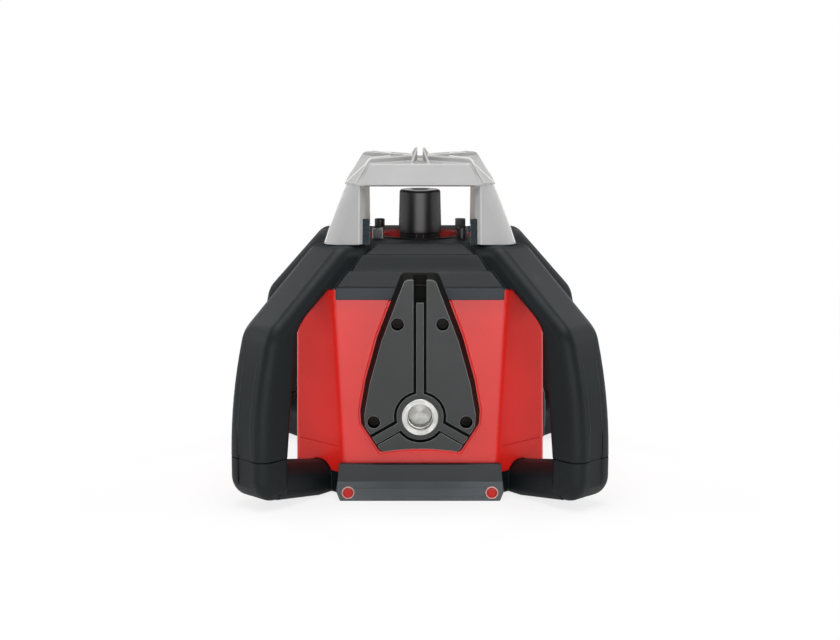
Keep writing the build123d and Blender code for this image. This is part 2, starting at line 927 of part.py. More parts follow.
# Black posts around the well: two square and two round, each with a screw down into the collar
bracket_screw_length = bracket_height - bracket_sink + crown_thickness + collar_flange - fit
with BuildPart() as collar_brackets:
    for angle, square in ((45, True), (135, False), (225, True), (315, False)):
        with PolarLocations(bracket_circle, 1, angle):
            with Locations((0, 0, roof_top)):
                if square:
                    Box(
                        bracket_width,
                        bracket_width,
                        bracket_height,
                        rotation=(0, 0, 45),
                        align=(Align.CENTER, Align.CENTER, Align.MIN),
                    )
                else:
                    Cylinder(
                        bracket_width / 2, bracket_height, align=(Align.CENTER, Align.CENTER, Align.MIN)
                    )
                with Locations((0, 0, bracket_height)):
                    CounterBoreHole(m3_shank + fit, m3_head + fit, bracket_sink, bracket_height)
keep(collar_brackets.part, "collar_brackets")

collar_screw = Pos(0, 0, roof_top + bracket_height - bracket_sink) * screw(
    m3_head, m3_head_height, m3_shank, bracket_screw_length
)
with BuildPart() as collar_screws:
    with PolarLocations(bracket_circle, 4, 45):
        add(collar_screw)
keep(collar_screws.part, "collar_screws")

# Window through the leaning front wall of the guard, bevelled so that it narrows inwards
lean = hypot(guard_kink_inset, guard_leg_height)
guard_wall_plane = Plane(
    origin=(0, -guard_half, roof_top),
    x_dir=(1, 0, 0),
    z_dir=(0, -guard_leg_height / lean, guard_kink_inset / lean),
)
window_length = lean * (guard_leg_height - window_head) / guard_leg_height
with BuildPart() as window_cutter:
    for depth, half in (
        (window_clear, window_half + window_clear),
        (-guard_wall * 2, window_half - window_bevel),
    ):
        with BuildSketch(guard_wall_plane.offset(depth)):
            Polygon(
                (-half, -guard_leg_height),
                (half, -guard_leg_height),
                (half, window_length),
                (-half, window_length),
                align=None,
            )
    loft(ruled=True)

# Visor across the top of a window
with BuildPart() as visor:
    visor_low = guard_kink_z - window_head
    for height, half, front in (
        (visor_low, visor_half_low, guard_kink_half + visor_proud),
        (guard_top_z, visor_half_high, guard_top_half + visor_proud),
    ):
        with BuildSketch(Plane.XY.offset(height)):
            Polygon(
                (-half, -front),
                (half, -front),
                (half, -front + visor_proud + guard_wall / 2),
                (-half, -front + visor_proud + guard_wall / 2),
                align=None,
            )
    loft(ruled=True)
    upright = visor.edges().filter_by(lambda e: e.bounding_box().size.Z > guard_visor_height / 2)
    fillet(upright.sort_by(Axis.Y)[:2], visor_proud)

# Sighting rib that rises towards the middle of the guard's top
with BuildPart() as sight_rib:
    with BuildSketch(Plane.YZ):
        Polygon(
            (-guard_top_half - visor_proud / 2, guard_top_z - strap_rise),
            (-sight_hole - sight_thickness, guard_top_z - strap_rise),
            (-sight_hole - sight_thickness, guard_top_z + sight_rise),
            (-sight_hole - sight_thickness * 3, guard_top_z + sight_rise),
            (-guard_top_half - visor_proud / 2, guard_top_z + strap_rise / 2),
            align=None,
        )
    extrude(amount=sight_thickness / 2, both=True)

# Strap over one corner of the guard, from the sight hole out and down to the leg, drawn along +X
strap_foot = guard_kink_half * DIAGONAL - guard_corner * (DIAGONAL - 1) + strap_proud
strap_under = guard_top_z - guard_wall / 2
with BuildPart() as strap:
    with BuildSketch(Plane.XZ):
        with BuildLine():
            FilletPolyline(
                (sight_hole, strap_under),
                (sight_hole, guard_top_z + strap_rise),
                (strap_reach, guard_top_z + strap_rise),
                (strap_foot, guard_kink_z),
                (strap_foot - guard_wall, guard_kink_z),
                (strap_reach - guard_wall, strap_under),
                radius=[0, 0, strap_bend, 0, 0, 0],
                close=True,
            )
        make_face()
    extrude(amount=strap_width / 2, both=True)

# Light grey guard over the head
pad_outer = guard_half - guard_wall / 2
pad_inner = window_half - guard_wall / 2
with BuildPart() as head_guard:
    for height, half in (
        (roof_top, guard_half),
        (guard_kink_z, guard_kink_half),
        (guard_top_z, guard_top_half),
    ):
        with BuildSketch(Plane.XY.offset(height)):
            RectangleRounded(half * 2, half * 2, guard_corner)
    loft(ruled=True)
    waist = (guard_kink_z, guard_kink_half - guard_wall, leg_face)
    octagon_frustum((roof_top, guard_half - guard_wall, leg_face), waist, mode=Mode.SUBTRACT)
    octagon_frustum(
        waist,
        (guard_top_z - guard_wall, guard_top_half - guard_wall, leg_face - guard_wall * 2),
        mode=Mode.SUBTRACT,
    )
    with BuildSketch(Plane.XY.offset(roof_top)):
        RectangleRounded(pad_outer * 2, pad_outer * 2, guard_corner)
        Rectangle(pad_inner * 2, guard_half * 2, mode=Mode.SUBTRACT)
        Rectangle(guard_half * 2, pad_inner * 2, mode=Mode.SUBTRACT)
    extrude(amount=foot_pad)
    with PolarLocations(0, 4):
        add(window_cutter.part, mode=Mode.SUBTRACT)
        add(visor.part)
    with PolarLocations(0, 4, 45):
        add(strap.part)
    with PolarLocations(0, 2):
        for side in (-1, 1):
            with Locations(Location((side * sight_gap, 0, 0), (0, 0, side * sight_splay))):
                add(sight_rib.part)
    ring(sight_hole, 0, guard_kink_z, guard_top_z + sight_rise, mode=Mode.SUBTRACT)
    with PolarLocations(guard_screw_circle, 4, 45):
        with Locations((0, 0, roof_top)):
            Cylinder(m3_shank + fit, foot_pad * 4, mode=Mode.SUBTRACT)
keep(head_guard.part, "head_guard")

guard_screw = Pos(0, 0, roof_top + foot_pad) * screw(
    m3_head, m3_head_height, m3_shank, foot_pad + guard_screw_grip - gap
)
with BuildPart() as guard_screws:
    with PolarLocations(guard_screw_circle, 4, 45):
        add(guard_screw)
keep(guard_screws.part, "guard_screws")

# Black die-cast mount plate with a branching channel, drawn on its back plane
mount_front = Plane.XZ.offset(mount_face)
rib_length = mount_top - insert_z - notch_height
with BuildPart() as mount_plate:
    with BuildSketch(mount_plane):
        mount_shape(mount_draft)
    with BuildSketch(mount_front):
        mount_shape(0)
    loft(ruled=True)
    corners = mount_plate.edges().filter_by(lambda e: e.bounding_box().size.Y > mount_thickness / 2)
    fillet(corners, mount_corner)
    with BuildSketch(mount_front):
        with Locations((0, insert_z)):
            branched(ring_channel, channel_half, mount_top, branch_high, branch_low)
    extrude(amount=-rib_drop, mode=Mode.SUBTRACT)
    with BuildSketch(mount_front):
        with Locations((0, insert_z)):
            branched(ring_channel, channel_half, mount_top, branch_high, branch_low)
            branched(ring_rim, rib_half, rib_length, branch_rib_high, branch_rib_low, mode=Mode.SUBTRACT)
    extrude(amount=-channel_depth, mode=Mode.SUBTRACT)
    with BuildSketch(mount_front):
        with Locations((0, mount_top + mount_draft)):
            Rectangle(channel_half * 2, notch_height + mount_draft, align=(Align.CENTER, Align.MAX))
    extrude(amount=-notch_depth, mode=Mode.SUBTRACT)
    with Locations(mount_front):
        with Locations((0, insert_z)):
            Hole(insert_radius + fit, mount_thickness * 2)
        with Locations(*mount_screw_places):
            CounterBoreHole(m4_shank + fit, counterbore_radius, counterbore_depth, mount_thickness * 2)
keep(mount_plate.part, "mount_plate")

# Aluminium insert with the side thread, held by its flange behind the plate
insert_length = mount_thickness + insert_proud
with BuildPart() as mount_insert:
    with BuildSketch(mount_plane):
        with Locations((0, insert_z)):
            Circle(insert_radius)
    extrude(amount=insert_length)
    with BuildSketch(mount_plane):
        with Locations((0, insert_z)):
            Circle(insert_flange)
    extrude(amount=-insert_flange_depth + fit)
    with Locations(mount_front.offset(insert_proud)):
        with Locations((0, insert_z)):
            Hole(thread_radius, side_thread_depth)
keep(mount_insert.part, "mount_insert")

mount_screw = Pos(0, 0, -counterbore_depth) * screw(
    m4_head, m4_head_height, m4_shank, mount_thickness - counterbore_depth + mount_screw_grip
)
with BuildPart() as mount_screws:
    with Locations(mount_front):
        with Locations(*mount_screw_places):
            add(mount_screw)
keep(mount_screws.part, "mount_screws")

# Steel pin across the notch at the top of the plate
with BuildPart() as plate_pin:
    with Locations((0, -mount_face + notch_depth - pin_wire, mount_top - pin_drop)):
        Cylinder(pin_wire, channel_half * 2 - fit, rotation=(0, 90, 0))
keep(plate_pin.part, "plate_pin")

# Control panel with holes for its keys, a lens recess and posts for the key board
# Places on the panel are given as seen from behind the instrument
panel_keys = [
    ("power_button", 0, panel_middle - power_drop, power_radius),
    ("speed_button", -button_column, panel_middle + button_rows[0], button_radius),
    ("line_button", button_column, panel_middle + button_rows[0], button_radius),
    ("slope_button", -button_column, panel_middle + button_rows[1], button_radius),
    ("shock_button", button_column, panel_middle + button_rows[1], button_radius),
]
window_z = panel_middle + window_rise
panel_front = panel_plane.offset(panel_thickness)
panel_opening = (panel_size[0] - panel_frame * 2, panel_size[1] - panel_frame * 2)
post_spacing = (panel_opening[0] - panel_post * 3, panel_opening[1] - panel_post * 3)
with BuildPart() as control_panel:
    with BuildSketch(panel_plane):
        with Locations((0, panel_middle)):
            RectangleRounded(panel_size[0], panel_size[1], panel_corner)
    extrude(amount=panel_thickness)
    chamfer(control_panel.faces().sort_by(Axis.Y)[-1].edges(), button_edge)
    with BuildSketch(panel_plane):
        with Locations((0, panel_middle)):
            with GridLocations(post_spacing[0], post_spacing[1], 2, 2):
                Circle(panel_post)
    extrude(amount=-board_drop)
    with BuildSketch(panel_front):
        with Locations((0, window_z)):
            Rectangle(window_size[0], window_size[1])
    extrude(amount=-window_depth, mode=Mode.SUBTRACT)
    with BuildSketch(panel_front):
        with Locations((0, window_z)):
            Rectangle(window_size[0] - window_ledge * 2, window_size[1] - window_ledge * 2)
    extrude(amount=-panel_thickness, mode=Mode.SUBTRACT)
    for name, across, up, radius in panel_keys:
        with Locations(panel_front):
            with Locations((across, up)):
                Hole(radius + key_gap, panel_thickness)
keep(control_panel.part, "control_panel")

with BuildPart() as status_window:
    with BuildSketch(panel_front):
        with Locations((0, window_z)):
            Rectangle(window_size[0] - fit * 2, window_size[1] - fit * 2)
    extrude(amount=-window_depth)
keep(status_window.part, "status_window")

# Keys, each held behind the panel by its flange
for name, across, up, radius in panel_keys:
    with BuildPart() as key:
        with BuildSketch(panel_front.offset(button_stand)):
            with Locations((across, up)):
                Circle(radius)
        extrude(amount=-panel_thickness - button_stand - fit)
        fillet(key.edges().sort_by(Axis.Y)[-1], button_edge)
        with BuildSketch(panel_plane.offset(-fit)):
            with Locations((across, up)):
                Circle(radius + button_flange)
        extrude(amount=-button_flange_height)
    keep(key.part, name)

# Key board on the panel's posts, with a switch behind each key and a row of lamps
board_plane = panel_plane.offset(-board_drop)
switch_height = board_drop - fit - button_flange_height - button_travel - gap
with BuildPart() as keypad_board:
    with BuildSketch(board_plane):
        with Locations((0, panel_middle)):
            RectangleRounded(panel_opening[0] - gap * 2, panel_opening[1] - gap * 2, panel_corner / 2)
    extrude(amount=-board_thickness)
    with BuildSketch(board_plane):
        for name, across, up, radius in panel_keys:
            with Locations((across, up)):
                Rectangle(switch_size, switch_size)
    extrude(amount=switch_height)
    with BuildSketch(board_plane):
        with Locations((0, window_z)):
            with GridLocations(window_size[0] / (lamp_count + 1), lamp_size, lamp_count, 1):
                Rectangle(lamp_size, lamp_size)
    extrude(amount=lamp_size)
keep(keypad_board.part, "keypad_board")

# Battery bay on two legs that stand on the tray floor
bay_outer = bay_half + bay_wall
bay_bottom = bay_floor - bay_wall
bay_top = bay_roof + bay_wall
leg_front = body_half - lip_inner - gap
with BuildPart() as battery_bay:
    with Locations((bay_back, 0, bay_bottom)):
        Box(
            bay_front - bay_back,
            bay_outer * 2,
            bay_top - bay_bottom,
            align=(Align.MIN, Align.CENTER, Align.MIN),
        )
    with Locations((bay_back + bay_wall, 0, bay_floor)):
        Box(
            bay_front - bay_back,
            bay_half * 2,
            bay_roof - bay_floor,
            align=(Align.MIN, Align.CENTER, Align.MIN),
            mode=Mode.SUBTRACT,
        )
    for side in (-1, 1):
        with Locations((bay_back, side * (bay_half + bay_wall / 2), floor_z)):
            Box(
                leg_front - bay_back,
                bay_wall,
                bay_bottom - floor_z,
                align=(Align.MIN, Align.CENTER, Align.MIN),
            )
keep(battery_bay.part, "battery_bay")

# Battery pack: a case with ribs around its cells, and the cover that closes the casing
pack_middle = (pack_floor + pack_top) / 2
cell_back = pack_back + pack_wall + gap
cell_places = [((place - (cell_count - 1) / 2) * cell_pitch, pack_middle) for place in range(cell_count)]
with BuildPart() as battery_case:
    with Locations((pack_back, 0, pack_middle)):
        Box(pack_length, pack_width, pack_height, align=(Align.MIN, Align.CENTER, Align.CENTER))
    with Locations((pack_back + pack_wall, 0, pack_middle)):
        Box(
            pack_length,
            pack_width - pack_wall * 2,
            pack_height - pack_wall * 2,
            align=(Align.MIN, Align.CENTER, Align.CENTER),
            mode=Mode.SUBTRACT,
        )
    for share in (1 / 4, 3 / 4):
        with Locations((cell_back + cell_length * share, 0, pack_middle)):
            Box(pack_wall, pack_width, pack_height)
    with BuildSketch(Plane.YZ.offset(cell_back)):
        with Locations(*cell_places):
            Circle(cell_radius + fit)
    extrude(amount=cell_length, mode=Mode.SUBTRACT)
keep(battery_case.part, "battery_case")

with BuildPart() as battery_cells:
    with BuildSketch(Plane.YZ.offset(cell_back)):
        with Locations(*cell_places):
            Circle(cell_radius)
    extrude(amount=cell_length)
keep(battery_cells.part, "battery_cells")

cover_front = bay_front + cover_thickness
with BuildPart() as battery_cover:
    with Locations((bay_front, 0, pack_middle)):
        Box(cover_thickness, pack_width, pack_height, align=(Align.MIN, Align.CENTER, Align.CENTER))
    fillet(battery_cover.faces().sort_by(Axis.X)[-1].edges(), cover_edge)
    with BuildSketch(Plane.YZ.offset(cover_front)):
        with Locations((0, pack_middle)):
            SlotOverall(grip_length, grip_height)
    extrude(amount=-grip_depth, mode=Mode.SUBTRACT)
    with BuildSketch(Plane.YZ.offset(cover_front - grip_depth)):
        with Locations((0, pack_middle)):
            Rectangle(grip_length - grip_height, grip_depth)
    extrude(amount=grip_depth - fit)
keep(battery_cover.part, "battery_cover")

with BuildPart() as battery_terminals:
    for side in (-1, 1):
        with Locations((bay_back + bay_wall, side * pack_half / 2, pack_middle)):
            Box(
                terminal_gap - gap,
                terminal_width,
                terminal_height,
                align=(Align.MIN, Align.CENTER, Align.CENTER),
            )
keep(battery_terminals.part, "battery_terminals")

# Main board on spacers over the battery bay
board_low = bay_top + board_spacer
board_middle = (bay_back + bay_front) / 2
board_length = bay_front - bay_back - board_margin * 2
board_width = bay_outer * 2 - board_margin * 2
spacer_grid = (board_length - board_margin * 3, board_width - board_margin * 3)
with BuildPart() as board_spacers:
    with Locations((board_middle, 0, bay_top)):
        with GridLocations(spacer_grid[0], spacer_grid[1], 2, 2):
            Cylinder(board_margin, board_spacer, align=(Align.CENTER, Align.CENTER, Align.MIN))
keep(board_spacers.part, "board_spacers")

with BuildPart() as main_board:
    with Locations((board_middle, 0, board_low)):
        Box(board_length, board_width, board_thickness, align=(Align.CENTER, Align.CENTER, Align.MIN))
    for along, across, length, width in chips:
        with Locations((board_middle + along, across, board_low + board_thickness)):
            Box(length, width, chip_height, align=(Align.CENTER, Align.CENTER, Align.MIN))
keep(main_board.part, "main_board")

# Chassis that carries the levelling gimbal, on four posts from the tray floor
pivot_z = roof_z - pivot_drop
chassis_post_side = bay_outer + chassis_post_clear + chassis_post_radius
chassis_top = pivot_z - chassis_drop
chassis_low = chassis_top - chassis_thickness
with BuildPart() as chassis_ring:
    ring(chassis_outer, chassis_inner, chassis_low, chassis_top)
    with PolarLocations(tower_inner, 2):
        with Locations((0, 0, chassis_top)):
            Box(
                tower_depth,
                tower_width,
                chassis_drop + tower_width / 2,
                align=(Align.MIN, Align.CENTER, Align.MIN),
            )
        with Locations((0, 0, pivot_z)):
            Cylinder(pin_radius + press, tower_depth * 4, rotation=(0, 90, 0), mode=Mode.SUBTRACT)
    with GridLocations(chassis_post_half * 2, chassis_post_side * 2, 2, 2):
        with Locations((0, 0, chassis_top)):
            Cylinder(chassis_ear, chassis_thickness, align=(Align.CENTER, Align.CENTER, Align.MAX))
            Cylinder(m3_shank + fit, chassis_thickness * 4, mode=Mode.SUBTRACT)
    with Locations((0, -drive_x_reach, chassis_low)):
        Cylinder(lead_radius + gap, chassis_thickness * 4, mode=Mode.SUBTRACT)
keep(chassis_ring.part, "chassis_ring")

with BuildPart() as chassis_posts:
    with GridLocations(chassis_post_half * 2, chassis_post_side * 2, 2, 2):
        with Locations((0, 0, floor_z)):
            Cylinder(
                chassis_post_radius, chassis_low - floor_z, align=(Align.CENTER, Align.CENTER, Align.MIN)
            )
        with Locations((0, 0, chassis_low)):
            Cylinder(m3_shank + press, chassis_screw_grip * 2, mode=Mode.SUBTRACT)
keep(chassis_posts.part, "chassis_posts")

chassis_screw = Pos(0, 0, chassis_top) * screw(
    m3_head, m3_head_height, m3_shank, chassis_thickness + chassis_screw_grip - gap
)
with BuildPart() as chassis_screws:
    with GridLocations(chassis_post_half * 2, chassis_post_side * 2, 2, 2):
        add(chassis_screw)
keep(chassis_screws.part, "chassis_screws")

# Gimbal ring, which tilts about X on two pins in the chassis towers
pin_x_inner = gimbal_inner + press
pin_x_length = tower_inner + tower_depth - pin_x_inner
gimbal_wall = gimbal_outer - gimbal_inner
with BuildPart() as gimbal_pins_x:
    with PolarLocations(pin_x_inner, 2):
        with Locations(Location((0, 0, pivot_z), (0, 90, 0))):
            Cylinder(pin_radius, pin_x_length, align=(Align.CENTER, Align.CENTER, Align.MIN))
keep(gimbal_pins_x.part, "gimbal_pins_x")

fork_slot = (nut_core + gap) * 2
fork_width = fork_slot + fork_prong * 2
fork_x_tip = drive_x_reach + nut_flange_radius + gap
fork_x_stop = drive_x_reach - nut_core - gap * 2
with BuildPart() as gimbal_ring:
    ring(gimbal_outer, gimbal_inner, pivot_z - gimbal_height / 2, pivot_z + gimbal_height / 2)
    with Locations((0, -gimbal_inner - gimbal_wall / 2, pivot_z)):
        Box(
            fork_width,
            fork_x_tip - gimbal_inner - gimbal_wall / 2,
            fork_thickness,
            align=(Align.CENTER, Align.MAX, Align.CENTER),
        )
    with Locations((0, -fork_x_stop, pivot_z)):
        Box(
            fork_slot,
            fork_x_tip,
            fork_thickness,
            align=(Align.CENTER, Align.MAX, Align.CENTER),
            mode=Mode.SUBTRACT,
        )
    with Locations((0, 0, pivot_z)):
        Cylinder(pin_radius + running, gimbal_outer * 4, rotation=(0, 90, 0), mode=Mode.SUBTRACT)
        Cylinder(
            pin_radius + press,
            gimbal_outer + pin_boss_reach,
            rotation=(90, 0, 0),
            mode=Mode.SUBTRACT,
        )
keep(gimbal_ring.part, "gimbal_ring")

# Pins in the ring on which the laser tube tilts about Y
pin_y_inner = pin_boss_reach - pin_grip
pin_y_outer = (gimbal_outer + pin_boss_reach) / 2
with BuildPart() as gimbal_pins_y:
    with PolarLocations(pin_y_inner, 2, 90):
        with Locations(Location((0, 0, pivot_z), (0, 90, 0))):
            Cylinder(pin_radius, pin_y_outer - pin_y_inner, align=(Align.CENTER, Align.CENTER, Align.MIN))
keep(gimbal_pins_y.part, "gimbal_pins_y")


def drive_nut(across, back, middle):
    """Nut with a groove for the fork that it lifts."""
    with BuildPart() as nut:
        with Locations((across, back, middle)):
            Cylinder(nut_core, groove_height)
            for side in (-1, 1):
                with Locations((0, 0, side * (groove_height + nut_flange_height) / 2)):
                    Cylinder(nut_flange_radius, nut_flange_height)
            Cylinder(lead_radius + fit, groove_height + nut_flange_height * 4, mode=Mode.SUBTRACT)
    return nut.part


def drive_screw(across, back, root, tip):
    """Levelling screw from its motor's face to its tip, with a journal inside the motor."""
    up = 1 if tip > root else -1
    with BuildPart() as made:
        with BuildSketch(Plane.XY.offset(tip)) as lead:
            with Locations((across, back)):
                Circle(lead_radius)
        extrude(lead.sketch.face(), amount=root + up * gap - tip)
        with BuildSketch(Plane.XY.offset(root - up * journal_length)) as journal:
            with Locations((across, back)):
                Circle(journal_radius)
        extrude(journal.sketch.face(), amount=up * (journal_length + gap))
    return made.part


def drive_motor(across, back, face, up):
    """Levelling motor whose shaft end is at a face, pointing up or down."""
    with BuildPart() as made:
        with BuildSketch(Plane.XY.offset(face)) as body:
            with Locations((across, back)):
                Circle(motor_radius)
        extrude(body.sketch.face(), amount=-up * motor_length)
        with BuildSketch(Plane.XY.offset(face)) as bore:
            with Locations((across, back)):
                Circle(journal_radius + running)
        extrude(bore.sketch.face(), amount=-up * (journal_length + gap), mode=Mode.SUBTRACT)
    return made.part


# Front drive, which tips the gimbal about X
nut_half = groove_height / 2 + nut_flange_height
drive_x_travel = drive_x_reach * sin(radians(tilt_limit))
screw_x_tip = pivot_z + nut_half + drive_x_travel + lead_spare
keep(drive_motor(0, -drive_x_reach, chassis_low, 1), "leveling_motor_x")
keep(drive_screw(0, -drive_x_reach, chassis_low, screw_x_tip), "leveling_screw_x")
keep(drive_nut(0, -drive_x_reach, pivot_z), "leveling_nut_x")

# Side drive, hung under the gimbal ring, which tips the laser tube about Y
motor_y_face = pivot_z - gimbal_height / 2 - motor_length
nut_y_z = pivot_z - drive_y_drop
drive_y_travel = drive_y_reach * sin(radians(tilt_limit))
screw_y_tip = nut_y_z - nut_half - drive_y_travel - lead_spare
keep(drive_motor(-drive_y_reach, 0, motor_y_face, -1), "leveling_motor_y")
keep(drive_screw(-drive_y_reach, 0, motor_y_face, screw_y_tip), "leveling_screw_y")
keep(drive_nut(-drive_y_reach, 0, nut_y_z), "leveling_nut_y")

# Laser tube with its pin bosses, optics bore, bearing bore and the fork at its side
tube_low = pivot_z - tube_below
tube_top = pivot_z + tube_above
bearing_floor = tube_top - bearing_width * 2 - bearing_gap - bearing_shoulder * 2
fork_y_sway = drive_y_drop * sin(radians(tilt_limit))
fork_y_tip = drive_y_reach + nut_flange_radius + gap
fork_y_stop = drive_y_reach - nut_core - gap * 2 - fork_y_sway
with BuildPart() as laser_tube:
    ring(tube_radius, 0, tube_low, tube_top)
    with Locations((0, 0, pivot_z)):
        Cylinder(pin_boss, pin_boss_reach * 2, rotation=(90, 0, 0))
    with Locations((-tube_radius / 2, 0, nut_y_z)):
        Box(
            fork_y_tip - tube_radius / 2,
            fork_width,
            fork_thickness,
            align=(Align.MAX, Align.CENTER, Align.CENTER),
        )
    with Locations((-fork_y_stop, 0, nut_y_z)):
        Box(
            fork_y_tip,
            fork_slot,
            fork_thickness,
            align=(Align.MAX, Align.CENTER, Align.CENTER),
            mode=Mode.SUBTRACT,
        )
    ring(optics_bore, 0, tube_low, bearing_floor, mode=Mode.SUBTRACT)
    ring(bearing_radius, 0, bearing_floor, tube_top, mode=Mode.SUBTRACT)
    with PolarLocations(pin_y_inner - gap, 2, 90):
        with Locations(Location((0, 0, pivot_z), (0, 90, 0))):
            Cylinder(
                pin_radius + running,
                pin_boss_reach,
                align=(Align.CENTER, Align.CENTER, Align.MIN),
                mode=Mode.SUBTRACT,
            )
keep(laser_tube.part, "laser_tube")

with BuildPart() as laser_diode:
    ring(optics_bore - press, 0, tube_low + bearing_shoulder, tube_low + bearing_shoulder + diode_height)
    ring(
        diode_can,
        0,
        tube_low + bearing_shoulder + diode_height,
        tube_low + bearing_shoulder + diode_height + diode_can_height,
    )
keep(laser_diode.part, "laser_diode")

lens_z = pivot_z - lens_drop
with BuildPart() as collimator_lens:
    ring(optics_bore - press, 0, lens_z - lens_height / 2, lens_z + lens_height / 2)
keep(collimator_lens.part, "collimator_lens")

# Two level sensors saddled on the tube, square to each other
with BuildPart() as level_vials:
    with PolarLocations(tube_radius, 2, 0, 90, endpoint=True):
        with Locations((0, 0, nut_y_z)):
            Box(vial_depth * 2, vial_length, vial_height)
    ring(tube_radius + fit, 0, tube_low, tube_top, mode=Mode.SUBTRACT)
keep(level_vials.part, "level_vials")

lower_bearing = bearing_floor + bearing_shoulder
with BuildPart() as spindle_bearings:
    for low in (lower_bearing, lower_bearing + bearing_width + bearing_gap):
        ring(bearing_radius - press, spindle_radius + running, low, low + bearing_width)
keep(spindle_bearings.part, "spindle_bearings")

stator_top = tube_top + stator_height
with BuildPart() as motor_stator:
    ring(stator_outer, stator_inner, tube_top, stator_top)
keep(motor_stator.part, "motor_stator")

# Turning head: hollow spindle, rotor, encoder, base, prism and housing
head_base_low = roof_top - head_base_sink
head_deck = roof_top + head_base_rise
rotor_low = stator_top + rotor_gap
rotor_top = rotor_low + rotor_height
with BuildPart() as spindle:
    ring(spindle_radius, beam_radius, bearing_floor + gap, head_deck)
keep(spindle.part, "spindle")

with BuildPart() as motor_rotor:
    ring(stator_outer, spindle_radius + press, rotor_low, rotor_low + rotor_disc)
    ring(rotor_hub, spindle_radius + press, rotor_low + rotor_disc, rotor_top)
keep(motor_rotor.part, "motor_rotor")

with BuildPart() as encoder_disc:
    ring(encoder_radius, spindle_radius + press, rotor_top, rotor_top + encoder_height)
keep(encoder_disc.part, "encoder_disc")

head_top = roof_top + head_rise
head_cavity = head_top_radius - head_wall
cradle_top = head_deck + cradle_height
with BuildPart() as head_base:
    ring(head_base_radius, spindle_radius + press, head_base_low, head_deck)
    ring(head_cavity - gap, beam_radius, head_deck, cradle_top)
keep(head_base.part, "head_base")

# Five-sided prism that turns the beam out through the window
prism_side = prism_size / DIAGONAL
prism_lean = prism_size - prism_side
with BuildPart() as pentaprism:
    with BuildSketch(Plane.YZ):
        with Locations((0, cradle_top)):
            Polygon(
                (-prism_side / 2, 0),
                (prism_side / 2, 0),
                (prism_side / 2, prism_side),
                (-prism_side / 2, prism_size),
                (-prism_side / 2 - prism_lean, prism_side),
                align=None,
            )
    extrude(amount=prism_width / 2, both=True)
keep(pentaprism.part, "pentaprism")

aperture_middle = cradle_top + bearing_shoulder + aperture_height / 2
window_seat = sqrt(head_cavity**2 - aperture_half**2)
with BuildPart() as head_housing:
    with BuildSketch(Plane.XY.offset(head_deck)):
        Circle(head_low_radius)
    with BuildSketch(Plane.XY.offset(head_top)):
        Circle(head_top_radius)
    loft(ruled=True)
    fillet(head_housing.edges().sort_by(Axis.Z)[-1], head_edge)
    ring(head_cavity, 0, head_deck, head_top - head_roof, mode=Mode.SUBTRACT)
    with Locations((0, 0, aperture_middle)):
        Box(
            aperture_half * 2,
            head_low_radius * 2,
            aperture_height,
            align=(Align.CENTER, Align.MIN, Align.CENTER),
            mode=Mode.SUBTRACT,
        )
    with Locations((0, 0, head_top)):
        CounterBoreHole(
            cap_lens_radius - bearing_shoulder,
            cap_lens_radius + press,
            cap_lens_sink + cap_lens_height,
            head_roof * 2,
        )
keep(head_housing.part, "head_housing")

with BuildPart() as head_window:
    with Locations((0, window_seat, aperture_middle)):
        Box(
            aperture_half * 2 - press * 2,
            head_wall,
            aperture_height - press * 2,
            align=(Align.CENTER, Align.MIN, Align.CENTER),
        )
keep(head_window.part, "head_window")

with BuildPart() as head_cap_lens:
    ring(cap_lens_radius, 0, head_top - cap_lens_sink - cap_lens_height, head_top - cap_lens_sink)
keep(head_cap_lens.part, "head_cap_lens")
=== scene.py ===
import json
import math

import bmesh
import bpy
from mathutils import Matrix, Vector


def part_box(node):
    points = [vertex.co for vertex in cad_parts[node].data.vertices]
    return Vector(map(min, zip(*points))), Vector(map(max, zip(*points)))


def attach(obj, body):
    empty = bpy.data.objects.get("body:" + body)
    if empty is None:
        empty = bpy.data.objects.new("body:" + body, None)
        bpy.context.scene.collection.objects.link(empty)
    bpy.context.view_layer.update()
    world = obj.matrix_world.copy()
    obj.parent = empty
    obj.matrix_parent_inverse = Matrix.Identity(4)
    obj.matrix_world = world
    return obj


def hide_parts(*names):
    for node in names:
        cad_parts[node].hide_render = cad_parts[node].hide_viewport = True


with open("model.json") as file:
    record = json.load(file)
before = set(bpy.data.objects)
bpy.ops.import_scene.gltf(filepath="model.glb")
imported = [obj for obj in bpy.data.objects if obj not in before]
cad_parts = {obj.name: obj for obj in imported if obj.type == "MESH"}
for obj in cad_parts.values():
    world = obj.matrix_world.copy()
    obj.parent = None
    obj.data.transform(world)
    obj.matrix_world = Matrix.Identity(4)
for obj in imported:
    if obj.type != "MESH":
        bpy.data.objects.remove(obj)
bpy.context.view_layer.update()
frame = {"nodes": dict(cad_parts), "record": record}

MM = 0.001
nodes = frame["nodes"]
record = frame["record"]
body_of = {node: body for body, held in record["behaviour"]["bodies"].items() for node in held}
slot_of = {row["node"]: row["material_slot"] for row in record["subparts"]}
mount_at = {row["name"]: Vector(row["pos_m"]) for row in record["mounts"]}
scene = bpy.context.scene


# Shader maths

